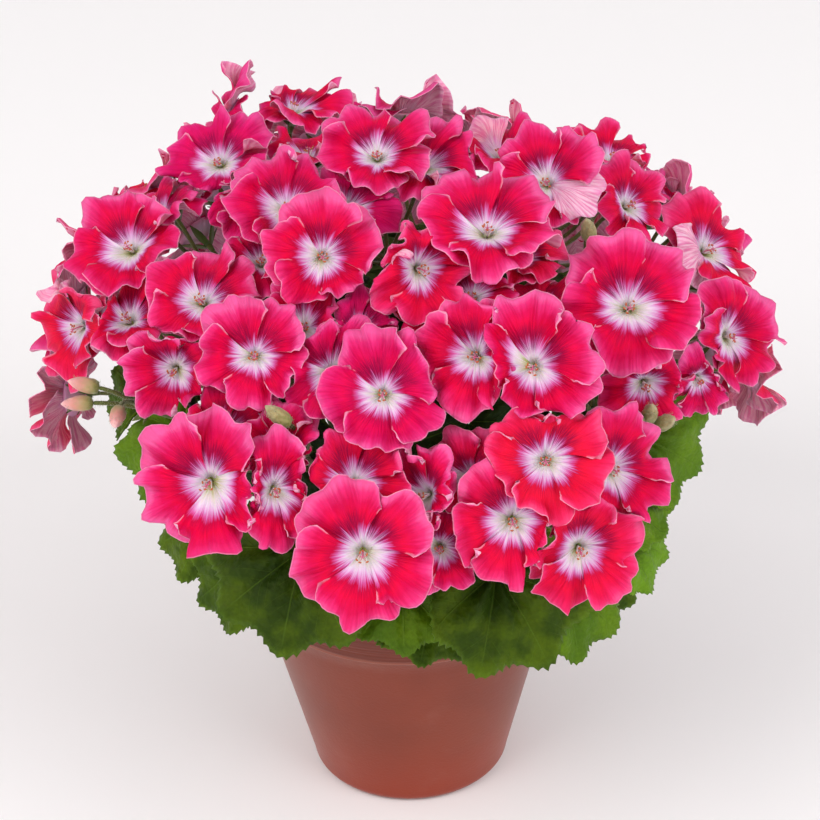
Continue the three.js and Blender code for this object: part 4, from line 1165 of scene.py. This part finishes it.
def add_hairs(parts, path, kind, chance):
    """Fine downy hairs, each a slim three-sided spike that stands off a stalk."""
    radius, count, length = kind
    spot = chance.uniform(0, len(path) - 1.001, count)
    index = spot.astype(int)
    step = path[index + 1] - path[index]
    around = chance.normal(size=(count, 3))
    direction = unit(step)
    around = unit(around - direction * np.sum(around * direction, axis=1, keepdims=True))
    other = np.cross(direction, around) * HAIR.half
    seat = path[index] + step * (spot - index)[:, None] + around * (HAIR.sunk * radius)
    reach = length * chance.uniform(HAIR.shortest, HAIR.longest, count)[:, None]
    tip = seat + unit(around + chance.normal(0, HAIR.sway, (count, 3))) * reach
    foot = seat - direction * HAIR.half * 0.5
    corners = (seat + direction * HAIR.half, foot + other, foot - other, tip)
    points = np.stack(corners, axis=1).reshape(-1, 3)
    first = 4 * np.arange(count)[:, None]
    spike = np.array(((0, 1, 3), (1, 2, 3), (2, 0, 3), (0, 2, 1)))
    parts.add(points, ((first[:, None] + spike[None]).reshape(-1, 3),), 1)


def place_hub(head):
    tops = [item.place for item in head.florets + head.buds]
    mean = np.mean(tops, axis=0)
    inward = unit(UP * STEM.crown_height - mean)
    depth = HUB.depth if head.florets else HUB.bud_depth
    head.hub = Record(centre=mean + inward * depth, axis=-inward)


def place_buds(head):
    head.buds = []
    for x, y, tip_x, tip_y, out in head.bud_rows:
        place = on_dome(x, y, out)
        tip = on_dome(tip_x, tip_y, out + BUD.lean)
        head.buds.append(Record(place=place, axes=axes_around(tip - place, UP)))


def add_hub(parts, hub, chance):
    """The knot where a head's stalks meet, in a ring of small pointed bracts."""
    path = hub.centre + hub.axis * np.array(KNOT.heights)[:, None]
    add_tube(parts, path, KNOT.radii, KNOT.sides, tint=KNOT.tint)
    guide = UP if abs(hub.axis[2]) < 0.9 else np.array((0, 1.0, 0))
    base = Record(place=hub.centre, axes=axes_around(hub.axis, guide))
    reach = BRACT.start + BRACT.reach * ALONG
    height = BRACT.rise * ALONG - BRACT.depth
    for i in range(BRACT.count):
        turn = 2 * math.pi * (i + BRACT.turn * chance.random()) / BRACT.count
        add_pointed(parts, base, BRACT, turn, reach, height, BRACT.tint)


def add_bud(parts, bud, green, chance):
    """A plump bud: five ridges of closed sepals, and folded petals at its tip."""
    share = np.linspace(0, 1, FINE_BUD.rows)
    rise = np.sin(0.5 * math.pi * share / BUD.wide_at)
    fallen = np.maximum(share - BUD.wide_at, 0) / (1 - BUD.wide_at)
    fall = np.cos(0.5 * math.pi * fallen**FINE_BUD.taper)
    foot, tip = FINE_BUD.foot, FINE_BUD.tip
    swell = np.where(share < BUD.wide_at, foot + (1 - foot) * rise, fall * (1 - tip) + tip)
    swell[[0, -1]] = 0
    profile = np.stack((BUD.radius * swell, BUD.length * share), axis=-1)
    phase = chance.uniform(0, 2 * math.pi)

    def ridged(points):
        angle = np.arctan2(points[..., 0], points[..., 1]) + phase + FINE_BUD.twist * points[..., 2]
        ridge = FINE_BUD.ridge * np.cos(FINE_BUD.ridges * angle)
        crease = FINE_BUD.crease * np.cos(2 * FINE_BUD.ridges * angle)
        scale = 1 + ridge - crease
        return to_world(bud, points * np.stack((scale, scale, np.ones_like(scale)), axis=-1))

    rings, ends = lathe(profile, FINE_BUD.sides)
    add_rings(parts, ridged(rings), ridged(ends), along=share, green=green)


def head_pieces(head, chance):
    node = f"head_{head.name}"
    green = Parts("tint", "back")
    if head.florets:
        petals = Parts("along", "across", "edge", "upper", "tint", "seed", "pale", "back")
        stamens = Parts("kind")
        pale = PALE_SEEN.get(head.name, {})
        for number, floret in enumerate(head.florets):
            tint = head.tint + chance.normal(0, PETAL.tint_spread)
            floret.tint = float(np.clip(tint, -1, 1))
            floret.seed = float(chance.integers(1, PETAL.seeds))
            floret.swell = chance.uniform(0, 2 * math.pi, len(SWELL.waves))
            for petal in range(FLORET.petals):
                add_petal(petals, floret, petal, pale.get((number, petal), 0.0), chance)
            add_throat(petals, floret)
            add_stamens(stamens, floret, chance)
            add_calyx(green, floret, chance)
            top = floret.place - floret.axes[2] * FLORET.calyx
            path = add_pedicel(green, top, floret.axes[2], head.hub)
            add_hairs(green, path, HAIR.pedicel, chance)
        finish_piece(petals.build(f"petals_{head.name}", MATERIALS.petal), "petal", node)
        finish_piece(stamens.build(f"stamens_{head.name}", MATERIALS.stamen), "petal")
    if head.buds:
        buds = Parts("along", "green")
        for bud in head.buds:
            add_bud(buds, bud, FINE_BUD.young if head.florets else 0.0, chance)
            path = add_pedicel(green, bud.place, bud.axes[2], head.hub)
            add_hairs(green, path, HAIR.bud_stalk, chance)
            line = bud.place + np.linspace(0, FINE_BUD.downy * BUD.length, 6)[:, None] * bud.axes[2]
            add_hairs(green, line, HAIR.bud, chance)
        finish_piece(buds.build(f"buds_{head.name}", MATERIALS.bud), "bud", node)
    add_hub(green, head.hub, chance)
    finish_piece(green.build(f"stalks_{head.name}", MATERIALS.stem, MATERIALS.hair), "leaf")


# Leaves


def leaf_shape(leaf, angle, share, reach):
    """A leaf's middle surface in its own axes, by the turn from its tip and 0 to 1 outward."""
    side = np.abs(angle) / math.pi
    outline = LEAF.length - LEAF.side_length * side - LEAF.sinus * smooth(*FINE_LEAF.sinus, side)
    lobe = np.cos(2 * math.pi * angle / LEAF_SECTOR)
    place = np.mod(angle * FINE_LEAF.teeth / math.radians(2 * LEAF.sweep) + FINE_LEAF.tooth_at, 1)
    peak = FINE_LEAF.peak
    saw = np.where(place < peak, place / peak, (1 - place) / (1 - peak)) ** FINE_LEAF.curve
    uneven = 1 + FINE_LEAF.uneven * np.sin(FINE_LEAF.uneven_turns * angle + 2 * leaf.phase)
    teeth = FINE_LEAF.tooth * uneven * (saw - FINE_LEAF.level) * smooth(*FINE_LEAF.toothed, share)
    reached = share * reach
    distance = leaf.width * outline * reached * (1 + FINE_LEAF.lobe * lobe * share + teeth)
    wave = LEAF.wave * reached * np.sin(LEAF.waves * angle + leaf.phase)
    bowl = LEAF.cup * reached * (1 - LEAF.droop * reached)
    quilt = FINE_LEAF.quilt * np.sin(math.pi * share) * (0.5 - 0.5 * lobe)
    crisp = FINE_LEAF.crisp * np.sin(FINE_LEAF.crisp_turns * angle + 3 * leaf.phase)
    crisp *= smooth(*FINE_LEAF.crisped, share)
    return polar(distance, angle, leaf.width * (bowl + wave + quilt + crisp))


def add_leaf(parts, leaf):
    rows, steps = FINE_LEAF.seen if leaf.seen else FINE_LEAF.hidden
    columns = FINE_LEAF.teeth * steps + 1
    angle_line = np.radians(np.linspace(-LEAF.sweep, LEAF.sweep, columns))

    def edge_at(share):
        return leaf_shape(leaf, angle_line, 1.0, share)

    reach = fitted_reach(leaf, edge_at, np.zeros(columns))
    reach = blurred(reach, FINE_LEAF.reach_blur, (0,))
    inner = np.linspace(*FINE_LEAF.inner, rows - len(FINE_LEAF.margin))
    share_line = np.concatenate((inner, FINE_LEAF.margin))
    share, angle = np.meshgrid(share_line, angle_line, indexing="ij")
    local = leaf_shape(leaf, angle, share, reach)
    points = bent_grid(leaf, local, 0, FINE_LEAF.bend_blur)
    offset = angle - LEAF_SECTOR * np.round(angle / LEAF_SECTOR)
    radius = share * reach * leaf.width * LEAF.length
    vein = np.abs(radius * np.sin(offset))
    rib = (radius * np.cos(offset) - FINE_LEAF.rib_lean * vein) / FINE_LEAF.rib_spacing
    add_sheet(parts, points, FINE_LEAF.thickness, share=share, vein=vein, rib=rib, tint=leaf.tint)


def branch_path(index):
    outward = outward_at(360 * (index + 0.5) / STEM.branches)
    crown = outward * STEM.crown_circle + UP * STEM.crown_height
    middle = 0.5 * (crown + UP * STEM.trunk_top)
    return UP * (STEM.trunk_top - 2 * STEM.branch_radius), middle, crown


def branch_index(point):
    turn = math.degrees(math.atan2(point[0], -point[1])) % 360
    return int(turn * STEM.branches / 360)


def stalk_start(index, stalks, share):
    _, fork, crown = branch_path(index)
    return crown + (fork - crown) * (stalks[0] + stalks[1] * share)


def add_petiole(parts, leaf, start, chance):
    length = np.linalg.norm(start - leaf.place)
    bend = leaf.place - (leaf.axes[2] * PETIOLE.under + leaf.axes[1] * PETIOLE.behind) * length
    path = add_stalk(parts, [leaf.place, bend, 0.5 * (bend + start), start], PETIOLE)
    if leaf.seen:
        add_hairs(parts, path, HAIR.petiole, chance)


def add_peduncle(parts, head, start, chance):
    end = head.hub.centre - head.hub.axis * PEDUNCLE.seat
    before = end - head.hub.axis * PEDUNCLE.bend * np.linalg.norm(end - start)
    path = add_stalk(parts, [start, 0.5 * (start + before), before, end], PEDUNCLE)
    add_hairs(parts, path, HAIR.peduncle, chance)


def plant_pieces(heads, leaves, chance):
    stems = Parts("tint", "back")
    add_stalk(stems, [UP * (SOIL.height - TRUNK.depth), UP * STEM.trunk_top], TRUNK)
    for i in range(STEM.branches):
        start, middle, crown = branch_path(i)
        bend = 0.5 * (start + middle) + UP * BRANCH.rise
        add_stalk(stems, [start, bend, middle, crown], BRANCH)
        own = [head for head in heads if branch_index(head.hub.centre) == i]
        for k, head in enumerate(own):
            add_peduncle(stems, head, stalk_start(i, STEM.head_stalks, k / len(own)), chance)
        own = [leaf for leaf in leaves if branch_index(leaf.place) == i]
        for k, leaf in enumerate(own):
            add_petiole(stems, leaf, stalk_start(i, STEM.leaf_stalks, k / len(own)), chance)
    finish_piece(stems.build("stems", MATERIALS.stem, MATERIALS.hair), "leaf", "stems_and_leaves")
    for number, leaf in enumerate(leaves, 1):
        tint = leaf.tint + chance.normal(0, FINE_LEAF.tint_spread)
        leaf.tint = float(np.clip(tint, -1, 1))
        blade = Parts("share", "vein", "rib", "tint", "back")
        add_leaf(blade, leaf)
        finish_piece(blade.build(f"leaf_{number:02d}", MATERIALS.leaf), "leaf")


# Pot and soil


def pot_wall_radius(height):
    return POT.base_radius + (POT.rim_radius - POT.rim_lip - POT.base_radius) * height / RIM_FOOT


def arc(centre, radius, start, end, steps):
    """Points of a round corner of the profile, in degrees from outward to up."""
    angles = np.radians(np.linspace(start, end, steps))
    return [(centre[0] + radius * math.cos(a), centre[1] + radius * math.sin(a)) for a in angles]


def pot_profile():
    """The pot's outline, from the middle underneath over the rim to the middle of its floor."""
    corner = POT.base_corner
    base = pot_wall_radius(corner)
    low = base - POT.wall
    lip = POT.wall / 2 - RIM.corner
    top = POT.height - lip
    rim = POT.rim_radius
    walls = np.linspace(corner + 1, RIM_FOOT - RIM.foot, POT_STEPS.wall)
    profile = [(0, 0), (base - corner - 1, 0), (base - corner, 0)]
    profile += arc((base - corner, corner), corner, -75, -8, POT_STEPS.corner)
    profile += [(pot_wall_radius(height), height) for height in walls]
    profile.append((rim - POT.rim_lip + RIM.groove, RIM_FOOT - RIM.step))
    bead = slice(len(profile), len(profile) + RIM.bead_steps)
    profile += arc((rim - RIM.bead, RIM_FOOT + RIM.bead), RIM.bead, -60, 0, RIM.bead_steps)
    for share in np.linspace(0.1, 1, POT_STEPS.side):
        profile.append((rim + RIM.flare * share, RIM_FOOT + RIM.foot + RIM.side * share))
    profile += arc((rim + RIM.flare - lip, top), lip, 0, 180, POT_STEPS.lip)
    inner = rim + RIM.flare - 2 * lip
    for share in np.linspace(0.04, 1, POT_STEPS.inside):
        profile.append((inner + (low - inner) * share, top + (corner - top) * share))
    profile += [(low - 1, POT.floor + 0.6), (low - 2.2, POT.floor), (0, POT.floor)]
    return np.array(profile, float), bead


def pot_piece():
    profile, bead = pot_profile()
    heights = profile[:, 1]
    # The bead's points carry a painted highlight line
    bead_highlight = np.zeros(len(profile))
    bead_highlight[bead] = 1
    parts = Parts("band", "bead", "foot")
    rings, ends = lathe(profile, POT.sides)
    # Painted reflected glow, full at the foot and gone by 42 mm up
    foot = smooth(*POT.warm_foot, heights)
    add_rings(parts, rings, ends, band=heights > RIM_FOOT, bead=bead_highlight, foot=foot)
    pot = parts.build("pot_shell", MATERIALS.pot)
    drill = Parts()
    reach = UP * np.array((-2.0, 6.0))[:, None]
    for i in range(POT.drain_holes):
        angle = 2 * math.pi * (i + 0.5) / POT.drain_holes
        centre = POT.drain_circle * np.array((math.sin(angle), math.cos(angle), 0))
        add_tube(drill, centre + reach, POT.drain_radius, POT_STEPS.hole)
    cutter = drill.build("drill", MATERIALS.pot)
    cut = pot.modifiers.new("drain holes", "BOOLEAN")
    cut.operation = "DIFFERENCE"
    cut.solver = "EXACT"
    cut.object = cutter
    bpy.context.view_layer.update()
    evaluated = pot.evaluated_get(bpy.context.evaluated_depsgraph_get())
    drilled = bpy.data.meshes.new_from_object(evaluated)
    pot.modifiers.clear()
    pot.data = drilled
    bpy.data.objects.remove(cutter)
    finish_piece(pot, "pot", "pot")


def soil_piece(chance):
    """Potting compost: an uneven top with crumbs and bark, above a plain hidden body."""
    corner = POT.base_corner
    top = SOIL.height - SOIL.mound
    low = pot_wall_radius(corner) - POT.wall - SOIL.gap
    inner = POT.rim_radius + RIM.flare - POT.wall - SOIL.gap
    edge = low + (inner - low) * (top - corner) / (POT.height - corner) - SOIL.shrunk
    profile = [(0, POT.floor + GAP), (low - 3, POT.floor + GAP), (low, corner + 1), (edge, top - 1)]
    profile += [(edge * s, top + SOIL.mound * (1 - s)) for s in np.linspace(0.99, 0.03, SOIL_TOP.steps)]
    profile.append((0, SOIL.height))
    rings, ends = lathe(profile, SOIL_TOP.sides)
    x, y, z = np.moveaxis(rings, -1, 0)
    a, b, c = SOIL_TOP.along
    d, e = SOIL_TOP.across
    bump = SOIL_TOP.wave * np.sin(a * x + b * np.sin(c * y)) * np.cos(d * x + e * y)
    bump += chance.normal(0, SOIL_TOP.uneven, x.shape)
    rings[..., 2] += smooth(top - 0.5, top, z) * bump
    parts = Parts()
    add_rings(parts, rings, ends)
    for _ in range(CRUMBS.count):
        radius = (edge - CRUMBS.spare) * math.sqrt(chance.random())
        if radius < CRUMBS.trunk:
            continue
        angle = chance.uniform(0, 2 * math.pi)
        height = top + SOIL.mound * (1 - radius / edge) + CRUMBS.lift
        seat = np.array((radius * math.sin(angle), radius * math.cos(angle), height))
        size = chance.uniform(*CRUMBS.sizes)
        direction = unit(chance.normal(size=3) * (1, 1, CRUMBS.flatness))
        long = chance.uniform(*CRUMBS.lengths) * size
        path = seat + direction * long * np.linspace(-0.5, 0.5, 4)[:, None]
        width = 0.5 * size * np.array(CRUMBS.radii) * chance.uniform(*CRUMBS.widths, 4)
        add_tube(parts, path, width, CRUMBS.sides)
    finish_piece(parts.build("compost", MATERIALS.soil), "soil", "soil")


# Floor, light and camera


def make_stage():
    """A pale floor that curves up into a low wall all round."""
    look = Look("backdrop", 0.9, 0.1)
    look.colour(linear(249, 247, 248))
    corner = STAGE.corner
    profile = [(radius, 0.0) for radius in STAGE.rings]
    for turn in 0.5 * math.pi * np.linspace(0, 1, 16):
        out = STAGE.corner_at + corner * math.sin(turn)
        profile.append((out, corner * (1 - math.cos(turn))))
    profile.append((STAGE.corner_at + corner, STAGE.wall))
    rows = lathe_points(np.array(profile) / MM, STAGE.sides)
    rows = np.concatenate((rows, rows[:, :1]), axis=1)
    parts = Parts()
    parts.add(rows, (grid_faces(len(profile), STAGE.sides + 1),))
    parts.build("backdrop", look.material)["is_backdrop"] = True


def stand(holder, place, axes):
    """Puts an object at a place in metres, with its x, y and z along the rows of the axes."""
    turned = Matrix(axes.T.tolist()).to_4x4()
    holder.matrix_world = Matrix.Translation(np.array(place).tolist()) @ turned


def area_light(name, place, size, power, colour):
    light = bpy.data.lights.new(name, "AREA")
    light.shape = "DISK"
    light.size = size
    light.energy = power
    light.color = colour
    stand(new_object(name, light), place, axes_around(np.array(place) - AIM, UP))


def make_light():
    world = bpy.data.worlds.new("studio")
    world.use_nodes = True
    background = world.node_tree.nodes["Background"]
    background.inputs["Color"].default_value = (1.0, 0.99, 0.98, 1.0)
    background.inputs["Strength"].default_value = WORLD_STRENGTH
    bpy.context.scene.world = world
    for light in LIGHTS:
        area_light(*light)
    bpy.context.scene.view_settings.view_transform = "Standard"


def make_camera():
    data = bpy.data.cameras.new("camera")
    data.sensor_fit = "HORIZONTAL"
    data.sensor_width = SENSOR
    data.lens = SENSOR * VIEW.focal / (2 * VIEW.middle)
    data.clip_end = 20
    camera = new_object("camera", data)
    stand(camera, CAMERA.eye * MM, np.array((CAMERA.right, CAMERA.up, -CAMERA.forward)))
    bpy.context.scene.camera = camera


def build_plant():
    random = draws_from(SEED)
    chance = np.random.default_rng(SEED)
    heads = seen_heads(random) + rear_heads(random)
    heads.append(Record(name="left_buds", florets=[], bud_rows=BUDS_SEEN["left_buds"]))
    leaves = make_leaves(random)
    separate([floret for head in heads for floret in head.florets] + leaves)
    for head in heads:
        place_buds(head)
        place_hub(head)
        head.tint = float(chance.uniform(*PETAL.head_tints))
        head_pieces(head, chance)
    plant_pieces(heads, leaves, chance)
    soil_piece(chance)


make_camera()
make_stage()
make_light()
pot_piece()
build_plant()

VISUAL_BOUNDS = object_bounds()
boxes = {"cad": CAD_BOUNDS, "visual": VISUAL_BOUNDS}
{name: [list(corner) for corner in box] for name, box in boxes.items()}
